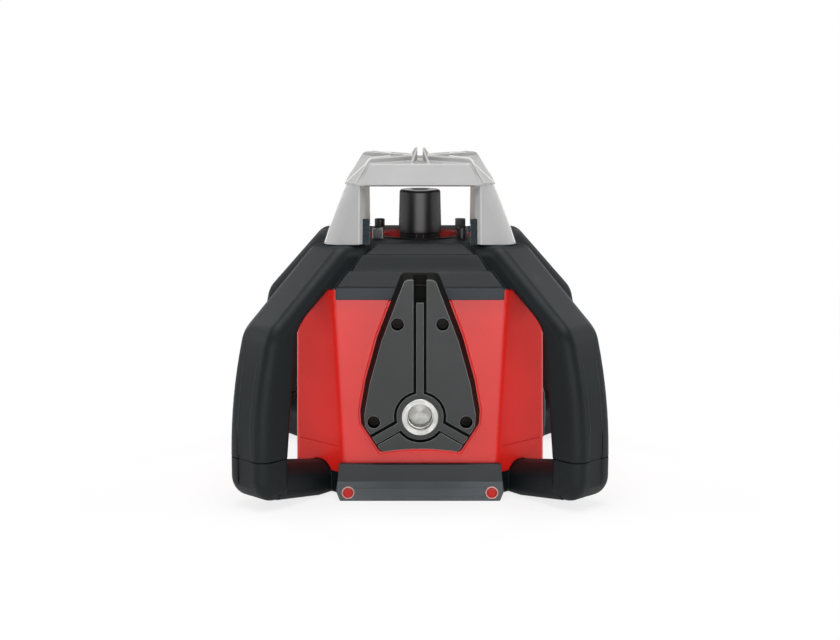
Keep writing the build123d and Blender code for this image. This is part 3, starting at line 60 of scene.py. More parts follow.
class Wire:
    """An output of a shader node. Sums and products of wires add Math nodes."""

    def __init__(self, tree, socket):
        self.tree = tree
        self.socket = socket

    def node(self, kind, settings=None, inputs=None, out=0):
        """Adds a node: its settings first, then its sockets' values or links. Gives one output."""
        made = self.tree.nodes.new("ShaderNode" + kind)
        for name, value in (settings or {}).items():
            setattr(made, name, value)
        for name, value in (inputs or {}).items():
            if isinstance(value, Wire):
                self.tree.links.new(value.socket, made.inputs[name])
            else:
                made.inputs[name].default_value = value
        return Wire(self.tree, made.outputs[out])

    def maths(self, operation, first, second=0.0):
        """A Math node on one or two values."""
        return self.node("Math", {"operation": operation}, {0: first, 1: second})

    def __add__(self, other):
        return self.maths("ADD", self, other)

    def __sub__(self, other):
        return self.maths("SUBTRACT", self, other)

    def __mul__(self, other):
        return self.maths("MULTIPLY", self, other)

    def __truediv__(self, other):
        return self.maths("DIVIDE", self, other)

    def __radd__(self, other):
        return self.maths("ADD", other, self)

    def __rsub__(self, other):
        return self.maths("SUBTRACT", other, self)

    def __rmul__(self, other):
        return self.maths("MULTIPLY", other, self)

    def __rtruediv__(self, other):
        return self.maths("DIVIDE", other, self)

    def over(self, low, high):
        """0 below low, 1 above high, with a soft step between."""
        return self.node("MapRange", {"interpolation_type": "SMOOTHSTEP"},
                         {"Value": self, "From Min": low, "From Max": high})

    def part(self, axis):
        """One of X, Y and Z of a vector."""
        return self.node("SeparateXYZ", {}, {0: self}, axis)


def tinted(red, green, blue):
    """A screen colour, 0 to 255, as a shader's linear colour."""
    def linear(part):
        part /= 255
        return part / 12.92 if part <= 0.04045 else ((part + 0.055) / 1.055) ** 2.4
    return (linear(red), linear(green), linear(blue), 1.0)


def scaled(colour, factor):
    """A colour made darker or lighter by a factor."""
    return tuple(min(1.0, part * factor) for part in colour[:3]) + (1.0,)


def paler(colour, step):
    """A colour with a little white added, as dust gives."""
    return tuple(min(1.0, part + step) for part in colour[:3]) + (1.0,)


def begin(name):
    """A new material: gives it, the object coordinates in metres and its surface shader."""
    made = bpy.data.materials.new(name)
    made.use_nodes = True
    tree = made.node_tree
    tree.nodes.clear()
    place = Wire(tree, tree.nodes.new("ShaderNodeTexCoord").outputs["Object"])
    skin = tree.nodes.new("ShaderNodeBsdfPrincipled")
    out = tree.nodes.new("ShaderNodeOutputMaterial")
    tree.links.new(skin.outputs[0], out.inputs["Surface"])
    return made, place, skin


def noise(place, size, detail=2.0):
    """Cloudy values about 0.5, with lumps of that size in metres."""
    return place.node("TexNoise", {}, {"Vector": place, "Scale": 1 / size, "Detail": detail}, "Fac")


def stretched(place, x, y, z):
    """Coordinates stretched along each axis."""
    return place.node("VectorMath", {"operation": "MULTIPLY"}, {0: place, 1: (x, y, z)})


def mixed(share, first, second):
    """Colours mixed by share."""
    return share.node("Mix", {"data_type": "RGBA"}, {0: share, 6: first, 7: second}, 2)


def bumped(height, strength, depth):
    """A normal from a height map, depth in metres."""
    return height.node("Bump", {}, {"Strength": strength, "Distance": depth, "Height": height})


def connect(skin, **sockets):
    """Sets or links the surface shader's sockets; an underscore stands for a space."""
    for name, value in sockets.items():
        socket = skin.inputs[name.replace("_", " ")]
        if isinstance(value, Wire):
            value.tree.links.new(value.socket, socket)
        else:
            socket.default_value = value


# Finishes

CLOUD = 34 * MM
RUBBED = 11 * MM
GRAIN_HEIGHT = 0.15 * MM
TOOL_MARK = 0.5 * MM
MARK_HEIGHT = 0.05 * MM
STAIN = 6 * MM
RING_WANDER = 3 * MM
RING_STAIN = 5 * MM
RING_HEIGHT = 0.06 * MM
GLASS_DUST = 1.2 * MM
GLOSS_DUST = 1.5 * MM
BOARD_RUNS = 260.0
BOARD_PADS = 420.0
TRACK_HEIGHT = 0.05 * MM


def moulded(name, colour, spread, rough, grain, depth, specular):
    """Moulded plastic or rubber: spark-eroded grain, faint cloudiness, rubbed patches and flecks."""
    made, place, skin = begin(name)
    cloud = noise(place, CLOUD).over(0.3, 0.7)
    rubbed = noise(place, RUBBED, 5.0).over(0.55, 0.8)
    grit = noise(place, grain, 3.0)
    fleck = noise(place, 0.6 * grain, 1.0).over(0.62, 0.75)
    body = mixed(cloud, scaled(colour, 1 - spread), scaled(colour, 1 + spread))
    connect(skin, Base_Color=mixed(0.5 * fleck, body, scaled(colour, 1 + 2 * spread)),
            Roughness=rough - 0.05 + 0.1 * grit - 0.06 * rubbed,
            Normal=bumped(grit, depth, GRAIN_HEIGHT), Specular_IOR_Level=specular)
    return made


def metal(name, colour, rough, closeness, depth):
    """Bare or plated metal, with stains and with fine tool marks that lie closer together along Z."""
    made, place, skin = begin(name)
    marks = noise(stretched(place, 1, 1, closeness), TOOL_MARK, 3.0)
    stain = noise(place, STAIN, 4.0).over(0.35, 0.75)
    connect(skin, Base_Color=mixed(stain, colour, scaled(colour, 0.72)), Metallic=1.0,
            Roughness=rough - 0.1 + 0.14 * marks + 0.08 * stain,
            Normal=bumped(marks, depth, MARK_HEIGHT))
    return made


def turned(name, colour, centre, pitch, rough):
    """Metal faced on a lathe: rings about the line along Y through centre."""
    made, place, skin = begin(name)
    offset = place.node("VectorMath", {"operation": "SUBTRACT"}, {0: place, 1: centre})
    radius = place.node("VectorMath", {"operation": "LENGTH"}, {0: stretched(offset, 1, 0, 1)}, "Value")
    turns = radius / pitch + 0.8 * noise(place, RING_WANDER)
    rings = turns.maths("SINE", turns * math.tau)
    stain = noise(place, RING_STAIN, 4.0).over(0.4, 0.8)
    connect(skin, Base_Color=mixed(stain, colour, scaled(colour, 0.8)), Metallic=1.0,
            Roughness=rough + 0.08 * stain, Normal=bumped(rings, 0.6, RING_HEIGHT))
    return made


def glass(name, colour, coat, coat_index):
    """Coated optical glass with a trace of dust."""
    made, place, skin = begin(name)
    dust = noise(place, GLASS_DUST, 4.0).over(0.6, 0.8)
    connect(skin, Base_Color=mixed(dust, colour, paler(colour, 0.08)), Roughness=0.03 + 0.1 * dust,
            Transmission_Weight=1.0, IOR=1.5, Coat_Weight=coat, Coat_IOR=coat_index, Coat_Roughness=0.02)
    return made


def polished(name, colour, coat_index):
    """Dark plastic polished under a hard clear coat, with a trace of dust."""
    made, place, skin = begin(name)
    dust = noise(place, GLOSS_DUST, 4.0).over(0.6, 0.8)
    connect(skin, Base_Color=mixed(dust, colour, paler(colour, 0.03)), Roughness=0.12 + 0.1 * dust,
            Coat_Weight=1.0, Coat_IOR=coat_index, Coat_Roughness=0.03)
    return made


def lacquered(name, lacquer, track, tin):
    """Circuit board: lacquer with copper runs under it and tinned pads."""
    made, place, skin = begin(name)
    runs = place.node("TexBrick", {"offset": 0.5},
                      {"Vector": place, "Scale": BOARD_RUNS, "Mortar Size": 0.04, "Color1": (0, 0, 0, 1),
                       "Color2": (0.2, 0.2, 0.2, 1), "Mortar": (1, 1, 1, 1)}, "Fac")
    pads = place.node("TexVoronoi", {"feature": "F1"}, {"Vector": place, "Scale": BOARD_PADS}, "Distance")
    dots = 1 - pads.over(0.12, 0.2)
    connect(skin, Base_Color=mixed(dots, mixed(runs, lacquer, track), tin), Metallic=0.8 * dots,
            Roughness=0.35 - 0.1 * dots + 0.05 * runs, Normal=bumped(runs + dots, 0.2, TRACK_HEIGHT))
    return made


# Screen colour, spread of the clouds, roughness, grain in mm, depth of the grain, specular level
MOULDED = {
    "red_casing": ((232, 33, 25), 0.04, 0.42, 0.9, 0.05, 0.26),
    "red_flat": ((228, 26, 18), 0.04, 0.34, 0.9, 0.05, 0.65),
    "red_collar": ((192, 30, 22), 0.08, 0.45, 0.7, 0.1, 0.4),
    "grey_housing": ((13, 20, 23), 0.10, 0.5, 0.6, 0.2, 0.25),
    # Lighter copy of the roof grey for the upright skirt: painted light.
    "skirt_painted_light": ((52, 57, 62), 0.08, 0.5, 0.6, 0.2, 0.3),
    "crease_grey": ((26, 35, 39), 0.08, 0.42, 0.6, 0.1, 0.35),
    "black_rubber": ((36, 41, 44), 0.10, 0.46, 0.6, 0.22, 0.4),
    # Lighter copy of the bumper rubber for its upright lower face: painted light.
    "toe_painted_light": ((80, 86, 90), 0.08, 0.48, 0.6, 0.2, 0.4),
    # Pale pink of the plug rims: a painted highlight on the red chamfers.
    "rim_painted_highlight": ((214, 164, 156), 0.05, 0.35, 0.6, 0.05, 0.5),
    "light_guard": ((170, 170, 170), 0.03, 0.42, 0.8, 0.08, 0.35),
    # Lighter copy of the guard's grey for its rounded edges: a painted edge highlight.
    "guard_edge_highlight": ((194, 194, 193), 0.02, 0.36, 0.8, 0.05, 0.45),
    # Paler copy for the guard's faces that look in at the head: painted light.
    "guard_inside_painted_light": ((236, 231, 224), 0.02, 0.45, 0.8, 0.06, 0.35),
    # Pale finish of the guard beads: a painted edge highlight.
    "bead_painted_highlight": ((224, 224, 223), 0.02, 0.36, 0.8, 0.05, 0.45),
    "black_plate": ((33, 35, 36), 0.16, 0.42, 0.9, 0.4, 0.5),
    # Lighter copy of the plate's black for its rounded edges: a painted edge highlight.
    "plate_edge_highlight": ((104, 106, 105), 0.12, 0.36, 0.7, 0.1, 0.5),
    # Darker, duller finish for the plate's grooves: painted shade.
    "plate_recess_shade": ((20, 19, 18), 0.10, 0.6, 0.9, 0.2, 0.08),
    "black_head": ((21, 20, 24), 0.12, 0.31, 0.5, 0.2, 0.6),
    "head_foot": ((11, 11, 11), 0.10, 0.5, 0.5, 0.1, 0.2),
    "index_paint": ((96, 96, 96), 0.05, 0.5, 0.5, 0.05, 0.4),
    # Light grey of the bracket frames: partly the frame's own colour, partly a painted edge highlight.
    "frame_grey_highlight": ((196, 196, 196), 0.04, 0.4, 0.5, 0.05, 0.4),
    "panel_plastic": ((40, 44, 47), 0.10, 0.45, 0.6, 0.2, 0.45),
    "key_rubber": ((150, 153, 156), 0.05, 0.55, 0.5, 0.15, 0.35),
    "power_key": ((188, 40, 32), 0.06, 0.52, 0.5, 0.15, 0.35),
    "key_mark": ((36, 38, 40), 0.06, 0.5, 0.5, 0.05, 0.4),
    "encoder_film": ((70, 72, 78), 0.10, 0.3, 0.5, 0.05, 0.5),
    "cell_wrap": ((60, 96, 150), 0.06, 0.28, 1.2, 0.05, 0.5),
}
# Screen colour, roughness, closeness of the tool marks, depth of the marks
METALS = {
    "black_steel": ((30, 29, 27), 0.34, 1, 0.1),
    "steel": ((178, 178, 180), 0.32, 6, 0.12),
    "motor_metal": ((160, 161, 164), 0.34, 9, 0.15),
    "cast_frame": ((186, 188, 190), 0.45, 1, 0.3),
    "brass_parts": ((206, 176, 110), 0.28, 7, 0.12),
    "bright_metal": ((228, 228, 226), 0.22, 5, 0.08),
    "clip_metal": ((104, 116, 122), 0.26, 6, 0.08),
    "cap_coating": ((224, 216, 222), 0.16, 1, 0.02),
}
finishes = {
    "turned_insert": turned("turned_insert", tinted(206, 206, 203), mount_at["side_thread"],
                            pitch=0.5 * MM, rough=0.28),
    "lens_glass": glass("lens_glass", tinted(205, 214, 220), coat=0.3, coat_index=1.5),
    "head_glass": glass("head_glass", tinted(120, 116, 126), coat=1.0, coat_index=2.3),
    "head_gloss": polished("head_gloss", tinted(30, 27, 33), coat_index=2.3),
    "board": lacquered("board", tinted(26, 92, 58), tinted(52, 126, 78), tinted(196, 188, 160)),
}
for name, (colour, spread, rough, grain, depth, specular) in MOULDED.items():
    finishes[name] = moulded(name, tinted(*colour), spread, rough, grain * MM, depth, specular)
for name, (colour, rough, closeness, depth) in METALS.items():
    finishes[name] = metal(name, tinted(*colour), rough, closeness, depth)
# Rounded edges of the guard and the mount plate get a lighter finish: a painted highlight along the edges.
painted_edge_highlight_of = {"light_guard": "guard_edge_highlight", "black_plate": "plate_edge_highlight"}


def dress(node, finish):
    """Gives a CAD node a finish."""
    mesh = nodes[node].data
    if not mesh.materials:
        mesh.materials.append(finishes[finish])
    for slot in nodes[node].material_slots:
        slot.material = finishes[finish]


for node, slot in slot_of.items():
    dress(node, slot)
dress("head_window", "head_glass")
dress("head_cap_lens", "cap_coating")


# Softened mouldings

WELD = 0.001 * MM
CREASE = math.radians(24)
SHARP = math.radians(32)
EDGE_SEGMENTS = 2


def settled(piece):
    """Turns the modifiers' result into a plain mesh."""
    bpy.context.view_layer.update()
    shape = bpy.data.meshes.new_from_object(piece.evaluated_get(bpy.context.evaluated_depsgraph_get()))
    piece.modifiers.clear()
    piece.data = shape


def softened(node, name, edge, finish=None, inner=None, is_inner=None):
    """A copy of a CAD node whose sharp edges are rounded over. It takes the node's place.

    Faces for which is_inner(middle, normal) holds get the inner finish.
    """
    shape = bmesh.new()
    shape.from_mesh(nodes[node].data)
    bmesh.ops.remove_doubles(shape, verts=shape.verts, dist=WELD)
    for line in shape.edges:
        line.smooth = not CREASE < line.calc_face_angle(0.0) < SHARP
    mesh = bpy.data.meshes.new(name)
    shape.to_mesh(mesh)
    shape.free()
    slot = slot_of[node]
    plain = finish or slot
    mesh.materials.append(finishes[plain])
    mesh.materials.append(finishes[painted_edge_highlight_of.get(plain, plain)])
    mesh.polygons.foreach_set("material_index", [0] * len(mesh.polygons))
    mesh.shade_smooth()
    piece = bpy.data.objects.new(name, mesh)
    scene.collection.objects.link(piece)
    rounding = piece.modifiers.new("rounded_edges", "BEVEL")
    rounding.width = edge
    rounding.segments = EDGE_SEGMENTS
    rounding.limit_method = "ANGLE"
    rounding.angle_limit = SHARP
    rounding.use_clamp_overlap = False
    rounding.loop_slide = False
    # The rounded edges take the second finish, which is a painted highlight on the guard and the mount
    # plate.
    rounding.material = 1
    level = piece.modifiers.new("level_faces", "WEIGHTED_NORMAL")
    level.keep_sharp = True
    settled(piece)
    if inner:
        piece.data.materials.append(finishes[inner])
        for face in piece.data.polygons:
            if is_inner(face.center, face.normal):
                face.material_index = 2
    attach(piece, body_of[node])
    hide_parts(node)
    return piece


# Heights and steps that part one finish from another, and how much a face has to look some way
STEP_DOWN = 1.0 * MM
SKIRT_LOW = 124.4 * MM
SKIRT_HIGH = 131.6 * MM
CORNER_HALF = 24.6 * MM
TOE_HIGH = 12 * MM
LIP_LOW = 153 * MM
LOOKS = 0.5
UPRIGHT = 0.75
LEVEL = 0.9
FLAT = 0.95
plate_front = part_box("mount_plate")[0].y
head_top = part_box("head_housing")[1].z


def in_groove(middle, normal):
    """A wall or a floor behind the front of the mount plate. These faces get a darker finish: painted
    shade in the grooves.
    """
    return middle.y > plate_front + STEP_DOWN


def on_flat(middle, normal):
    """One of the four broad flats of the casing, which are smoother than its ridges and corners."""
    return max(abs(normal.x), abs(normal.y)) > FLAT


def on_skirt(middle, normal):
    """The upright band of the roof that overhangs the casing. It gets a lighter copy of the roof grey:
    painted light on the upright band.
    """
    off_corner = abs(abs(middle.x) - abs(middle.y)) > CORNER_HALF
    return off_corner and SKIRT_LOW < middle.z < SKIRT_HIGH and abs(normal.z) < UPRIGHT


def on_toe(middle, normal):
    """The upright lower face of a bumper. It gets a lighter copy of the bumper rubber: painted light on
    the upright face.
    """
    return middle.z < TOE_HIGH and normal.y * middle.y > 0 and abs(normal.y) > UPRIGHT


def on_head_top(middle, normal):
    """The flat ring on top of the rotating head."""
    return normal.z > LEVEL and middle.z > head_top - STEP_DOWN


def on_lip(middle, normal):
    """The top of the collar round the well and the upper part of its outside."""
    looks_out = middle.xy.normalized().dot(normal.xy) > LOOKS
    return middle.z > LIP_LOW and (looks_out or normal.z > LOOKS)


def faces_head(middle, normal):
    """A face of the guard that looks in at the head. These faces get a paler finish: painted light for the
    brightly lit inner faces.
    """
    return middle.xy.normalized().dot(normal.xy) < -LOOKS


roof = softened("top_housing", "roof_moulding", edge=0.5 * MM, inner="skirt_painted_light", is_inner=on_skirt)
softened("base_housing", "base_moulding", edge=0.5 * MM)
softened("body_shell", "casing_moulding", edge=0.35 * MM, inner="red_flat", is_inner=on_flat)
guard = softened("head_guard", "guard_moulding", edge=0.5 * MM, inner="guard_inside_painted_light", is_inner=faces_head)
softened("mount_plate", "mount_plate_casting", edge=0.3 * MM, inner="plate_recess_shade", is_inner=in_groove)
softened("bumpers", "bumper_mouldings", edge=0.4 * MM, inner="toe_painted_light", is_inner=on_toe)
softened("bumper_plugs", "plug_mouldings", edge=0.5 * MM)
softened("head_housing", "head_moulding", edge=0.4 * MM, inner="head_gloss", is_inner=on_head_top)
softened("head_base", "head_base_moulding", edge=0.3 * MM, finish="head_foot")
softened("collar_brackets", "bracket_mouldings", edge=0.3 * MM)
softened("head_collar", "collar_moulding", edge=0.3 * MM, inner="grey_housing", is_inner=on_lip)
softened("mount_insert", "turned_insert", edge=0.4 * MM, finish="turned_insert")
softened("control_panel", "panel_moulding", edge=0.3 * MM)
softened("battery_cover", "battery_cover_moulding", edge=0.3 * MM)
softened("base_plate", "base_plate_pressing", edge=0.4 * MM)


# Small pieces that repeat or follow a path

class Bench:
    """A Geometry Nodes tree under construction, with named size inputs."""

    def __init__(self, name, **sizes):
        self.tree = bpy.data.node_groups.new(name, "GeometryNodeTree")
        face = self.tree.interface
        face.new_socket("Geometry", in_out="INPUT", socket_type="NodeSocketGeometry")
        self.sizes = []
        for label, value in sizes.items():
            kind = "NodeSocketInt" if isinstance(value, int) else "NodeSocketFloat"
            self.sizes.append((face.new_socket(label, in_out="INPUT", socket_type=kind), value))
        face.new_socket("Geometry", in_out="OUTPUT", socket_type="NodeSocketGeometry")
        self.given = self.tree.nodes.new("NodeGroupInput").outputs

    def node(self, kind, settings=None, inputs=None):
        """Adds a node and gives its first output. Inputs are values or other nodes' outputs."""
        made = self.tree.nodes.new(kind)
        for name, value in (settings or {}).items():
            setattr(made, name, value)
        for name, value in (inputs or {}).items():
            if isinstance(value, bpy.types.NodeSocket):
                self.tree.links.new(value, made.inputs[name])
            else:
                made.inputs[name].default_value = value
        return made.outputs[0]

    def swept(self, path, section):
        """A solid with that section along a curve, closed at its ends."""
        return self.node("GeometryNodeCurveToMesh", {},
                         {"Curve": path, "Profile Curve": section, "Fill Caps": True})

    def ring(self, radius, steps):
        """A round loop."""
        return self.node("GeometryNodeCurvePrimitiveCircle", {}, {"Resolution": steps, "Radius": radius})

    def rod(self, path, wire, sides=8):
        """A round rod of radius wire along a curve."""
        return self.swept(path, self.ring(wire, sides))

    def strip(self, path, width, height, corner, steps=3):
        """A strip of rounded rectangular section along a curve."""
        section = self.node("GeometryNodeCurvePrimitiveQuadrilateral", {"mode": "RECTANGLE"},
                            {"Width": width, "Height": height})
        section = self.node("GeometryNodeFilletCurve", {"mode": "POLY"},
                            {"Curve": section, "Radius": corner, "Count": steps, "Limit Radius": True})
        return self.swept(path, section)

    def line(self, **reach):
        """A straight curve from the origin, as far along each axis as reach says."""
        end = self.node("ShaderNodeCombineXYZ", {}, reach)
        return self.node("GeometryNodeCurvePrimitiveLine", {}, {"End": end})

    def placed(self, shape, axis):
        """The shape at every given point, with its axis turned the way the point faces."""
        way = self.node("GeometryNodeInputNamedAttribute", {"data_type": "FLOAT_VECTOR"},
                        {"Name": "facing"})
        turn = self.node("FunctionNodeAlignRotationToVector", {"axis": axis}, {"Vector": way})
        return self.node("GeometryNodeInstanceOnPoints", {},
                         {"Points": self.given["Geometry"], "Instance": shape, "Rotation": turn})

    def close(self, shape, finish):
        """Ends the tree: everything made real, smooth and in one finish."""
        real = self.node("GeometryNodeRealizeInstances", {}, {"Geometry": shape})
        smooth = self.node("GeometryNodeSetShadeSmooth", {}, {"Geometry": real})
        done = self.node("GeometryNodeSetMaterial", {}, {"Geometry": smooth, "Material": finishes[finish]})
        self.tree.links.new(done, self.tree.nodes.new("NodeGroupOutput").inputs[0])

    def make(self, name, mesh, place=None):
        """Runs the tree on a mesh and gives the result as a plain piece, put in its place."""
        piece = bpy.data.objects.new(name, mesh)
        scene.collection.objects.link(piece)
        maker = piece.modifiers.new(name, "NODES")
        maker.node_group = self.tree
        for socket, value in self.sizes:
            maker[socket.identifier] = value
        settled(piece)
        if place:
            piece.data.transform(place)
        return piece


def on_body(piece, node):
    """Fixes a piece to the body of a CAD node."""
    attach(piece, body_of[node])


def bare(name, points=(), links=(), facing=()):
    """A mesh of points and links alone. Each point may face a way of its own."""
    mesh = bpy.data.meshes.new(name)
    mesh.from_pydata(points, links, [])
    if facing:
        column = mesh.attributes.new("facing", "FLOAT_VECTOR", "POINT")
        for item, way in zip(column.data, facing):
            item.vector = way
    return mesh


# Turns of the two 5/8 inch threads, 11 to the inch
PITCH = 25.4 / 11 * MM
THREAD_RADIUS = 7.94 * MM
THREAD_WIRE = 0.8 * MM
THREAD_SIDES = 6
THREAD_STEPS = 40
THREAD_START = 1.2 * PITCH


def thread_turns(name, node, finish, mouth, inward, turns):
    """Rounded thread turns in a bore, from its mouth inward."""
    bench = Bench(name, Turns=float(turns), Radius=THREAD_RADIUS, Height=turns * PITCH, Wire=THREAD_WIRE)
    given = bench.given
    path = bench.node("GeometryNodeCurveSpiral", {},
                      {"Resolution": THREAD_STEPS, "Rotations": given["Turns"],
                       "Start Radius": given["Radius"], "End Radius": given["Radius"],
                       "Height": given["Height"], "Reverse": True})
    bench.close(bench.rod(path, given["Wire"], THREAD_SIDES), finish)
    turn = inward.to_track_quat("Z", "Y").to_matrix().to_4x4()
    on_body(bench.make(name, bare(name), Matrix.Translation(mouth + THREAD_START * inward) @ turn), node)


thread_turns("side_thread_turns", "mount_insert", "turned_insert",
             mount_at["side_thread"], Vector((0, 1, 0)), turns=4)
thread_turns("base_thread_turns", "base_thread_bush", slot_of["base_thread_bush"],
             mount_at["base_thread"], Vector((0, 0, 1)), turns=6)


# Pale rims round the bumper plugs: their pale colour is a painted highlight on the plugs' red chamfered
# edges
RIM_RADIUS = 3.75 * MM
RIM_WIRE = 0.6 * MM
RIM_STEPS = 32
LOOKS_OUT = 0.8
outer_caps = {}
for face in nodes["bumper_plugs"].data.polygons:
    outward = math.copysign(1, face.center.y)
    if face.normal.y * outward > LOOKS_OUT:
        outer_caps.setdefault((face.center.x > 0, face.center.y > 0), []).append(face)
rim_spots = [sum((face.center * face.area for face in cap), Vector()) / sum(face.area for face in cap)
             for cap in outer_caps.values()]
rim_ways = [cap[0].normal for cap in outer_caps.values()]
bench = Bench("plug_rims", Radius=RIM_RADIUS, Wire=RIM_WIRE)
loop = bench.ring(bench.given["Radius"], RIM_STEPS)
bench.close(bench.placed(bench.rod(loop, bench.given["Wire"]), "Z"), "rim_painted_highlight")
on_body(bench.make("plug_rims", bare("plug_rims", rim_spots, facing=rim_ways)), "bumper_plugs")


# Grip ribs on the battery cover
RIB_COUNT = 4
RIB_STEP = 2.2 * MM
RIB_LENGTH = 17 * MM
RIB_WIRE = 0.7 * MM
RIB_SIDE = 22.5 * MM
cover_low, cover_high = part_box("battery_cover")
rib_foot = (cover_low.z + cover_high.z) / 2 - RIB_LENGTH / 2
rib_starts = {"cover_ribs_left": -RIB_SIDE - (RIB_COUNT - 1) * RIB_STEP, "cover_ribs_right": RIB_SIDE}
for name, start in rib_starts.items():
    bench = Bench(name, Count=RIB_COUNT, Step=RIB_STEP, Length=RIB_LENGTH, Wire=RIB_WIRE)
    given = bench.given
    step = bench.node("ShaderNodeCombineXYZ", {}, {"Y": given["Step"]})
    row = bench.node("GeometryNodeMeshLine", {}, {"Count": given["Count"], "Offset": step})
    rib = bench.rod(bench.line(Z=given["Length"]), given["Wire"])
    ribs = bench.node("GeometryNodeInstanceOnPoints", {}, {"Points": row, "Instance": rib})
    bench.close(ribs, slot_of["battery_cover"])
    place = Matrix.Translation((cover_high.x, start, rib_foot))
    on_body(bench.make(name, bare(name), place), "battery_cover")


# Spring clips at the front feet of the guard
CLIP_SIDE = 33.9 * MM
CLIP_BACK = 57.0 * MM
CLIP_LOW = 155.6 * MM
CLIP_WIDTH = 5.0 * MM
CLIP_THICKNESS = 1.0 * MM
CLIP_LENGTH = 15.5 * MM
CLIP_LEAN = -6.0 * MM
CLIP_CORNER = 0.4 * MM
clip_spots = [(side * CLIP_SIDE, -CLIP_BACK, CLIP_LOW) for side in (-1, 1)]
clip_ways = [(0, -1, 0)] * len(clip_spots)
bench = Bench("guard_clips", Width=CLIP_WIDTH, Thickness=CLIP_THICKNESS, Length=CLIP_LENGTH,
              Lean=CLIP_LEAN, Corner=CLIP_CORNER)
given = bench.given
spine = bench.line(Y=given["Lean"], Z=given["Length"])
clip = bench.strip(spine, given["Width"], given["Thickness"], given["Corner"])
bench.close(bench.placed(clip, "Y"), "clip_metal")
on_body(bench.make("guard_clips", bare("guard_clips", clip_spots, facing=clip_ways)), "guard_screws")


# Red liner at the edge of the well
LINER_RADIUS = 33.9 * MM
LINER_TOP = 155.8 * MM
LINER_DEPTH = 6.0 * MM
LINER_THICKNESS = 1.0 * MM
LINER_CORNER = 0.4 * MM
LINER_STEPS = 96
bench = Bench("well_liner", Radius=LINER_RADIUS, Thickness=LINER_THICKNESS, Depth=LINER_DEPTH,
              Corner=LINER_CORNER)
given = bench.given
loop = bench.ring(given["Radius"], LINER_STEPS)
bench.close(bench.strip(loop, given["Thickness"], given["Depth"], given["Corner"]), "red_collar")
place = Matrix.Translation((0, 0, LINER_TOP - LINER_DEPTH / 2))
on_body(bench.make("well_liner", bare("well_liner"), place), "top_housing")


# Raised strokes: key signs, index lines, handle creases, guard beads, bracket frames and knobs

def strokes(name, lines, wire, finish, node, sides=8):
    """Raised round strokes along lines of points, on the body of a CAD node.

    A line that ends where it starts becomes a closed loop.
    """
    points = []
    links = []
    for line in lines:
        start = len(points)
        closed = line[0] == line[-1]
        points += line[:-1] if closed else line
        links += [(count, count + 1) for count in range(start, len(points) - 1)]
        if closed:
            links.append((len(points) - 1, start))
    bench = Bench(name, Wire=wire)
    path = bench.node("GeometryNodeMeshToCurve", {}, {"Mesh": bench.given["Geometry"]})
    bench.close(bench.rod(path, bench.given["Wire"], sides), finish)
    on_body(bench.make(name, bare(name, points, links)), node)


def arc(radius, first, last, count=24):
    """Points on a circle about the origin, between two angles in degrees."""
    angles = [math.radians(first + (last - first) * step / count) for step in range(count + 1)]
    return [(radius * math.cos(angle), radius * math.sin(angle)) for angle in angles]


def ripple(half, height, fade, count=64):
    """Points on a wave across the origin that dies away to nothing at fade on both sides."""
    places = [half * (2 * step / count - 1) for step in range(count + 1)]
    return [(x, height * math.sin(2 * x) * (1 - abs(x) / fade)) for x in places]


# Key signs in mm, as seen by someone who faces the panel
KEY_WIRE = 0.38 * MM
KEY_SINK = 0.15 * MM
key_signs = {
    "power_button": [arc(3.6, 130, 410), [(0, 1.4), (0, 4.6)]],
    "speed_button": [arc(2.6, 60, 330), [(0.2, 3.4), (1.3, 2.25), (-0.2, 1.4)]],
    "line_button": [[(-3.2, 0), (3.2, 0)], [(-2, 1.2), (-3.2, 0), (-2, -1.2)],
                    [(2, 1.2), (3.2, 0), (2, -1.2)]],
    "slope_button": [[(3, 1.8), (-3, -1.6), (3, -1.6)]],
    "shock_button": [ripple(3.2, 2.2, 3.4)],
}
for node, sign in key_signs.items():
    low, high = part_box(node)
    centre = (low + high) / 2
    lines = [[(centre.x - a * MM, high.y - KEY_SINK, centre.z + b * MM) for a, b in line] for line in sign]
    mark = "key_rubber" if slot_of[node] == "power_key" else "key_mark"
    strokes(node + "_sign", lines, KEY_WIRE, mark, node)


# Two index lines at the front of the rotating foot
INDEX_WIRE = 0.3 * MM
INDEX_HALF = 2.2 * MM
INDEX_LOW = 154.4 * MM
INDEX_HIGH = 156.8 * MM
foot_low, foot_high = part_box("head_base")
foot_radius = (foot_high.x - foot_low.x) / 2
index_y = -math.sqrt(foot_radius ** 2 - INDEX_HALF ** 2)
index_lines = [[(side * INDEX_HALF, index_y, height) for height in (INDEX_LOW, INDEX_HIGH)]
               for side in (-1, 1)]
strokes("head_index", index_lines, INDEX_WIRE, "index_paint", "head_base")


# Creases down the outer face of each handle post
CREASE_WIRE = 0.4 * MM
CREASE_SINK = 0.2 * MM
CREASE_LOW = 33 * MM
CREASE_HIGH = 90 * MM
CREASE_STEPS = 19
CREASE_HALF_LOW = 5.2 * MM
CREASE_HALF_HIGH = 6.3 * MM
OUTSIDE = 300 * MM
creases = []
for corner in range(4):
    angle = math.radians(45 + 90 * corner)
    outward = Vector((math.cos(angle), math.sin(angle), 0))
    across = Vector((-outward.y, outward.x, 0))
    for side in (-1, 1):
        line = []
        for step in range(CREASE_STEPS + 1):
            share = step / CREASE_STEPS
            half = CREASE_HALF_LOW + (CREASE_HALF_HIGH - CREASE_HALF_LOW) * share
            height = CREASE_LOW + (CREASE_HIGH - CREASE_LOW) * share
            start = OUTSIDE * outward + side * half * across + Vector((0, 0, height))
            found, spot, _, _ = roof.ray_cast(start, -outward)
            if found:
                line.append(tuple(spot - CREASE_SINK * outward))
        creases.append(line)
strokes("handle_creases", creases, CREASE_WIRE, "crease_grey", "top_housing")


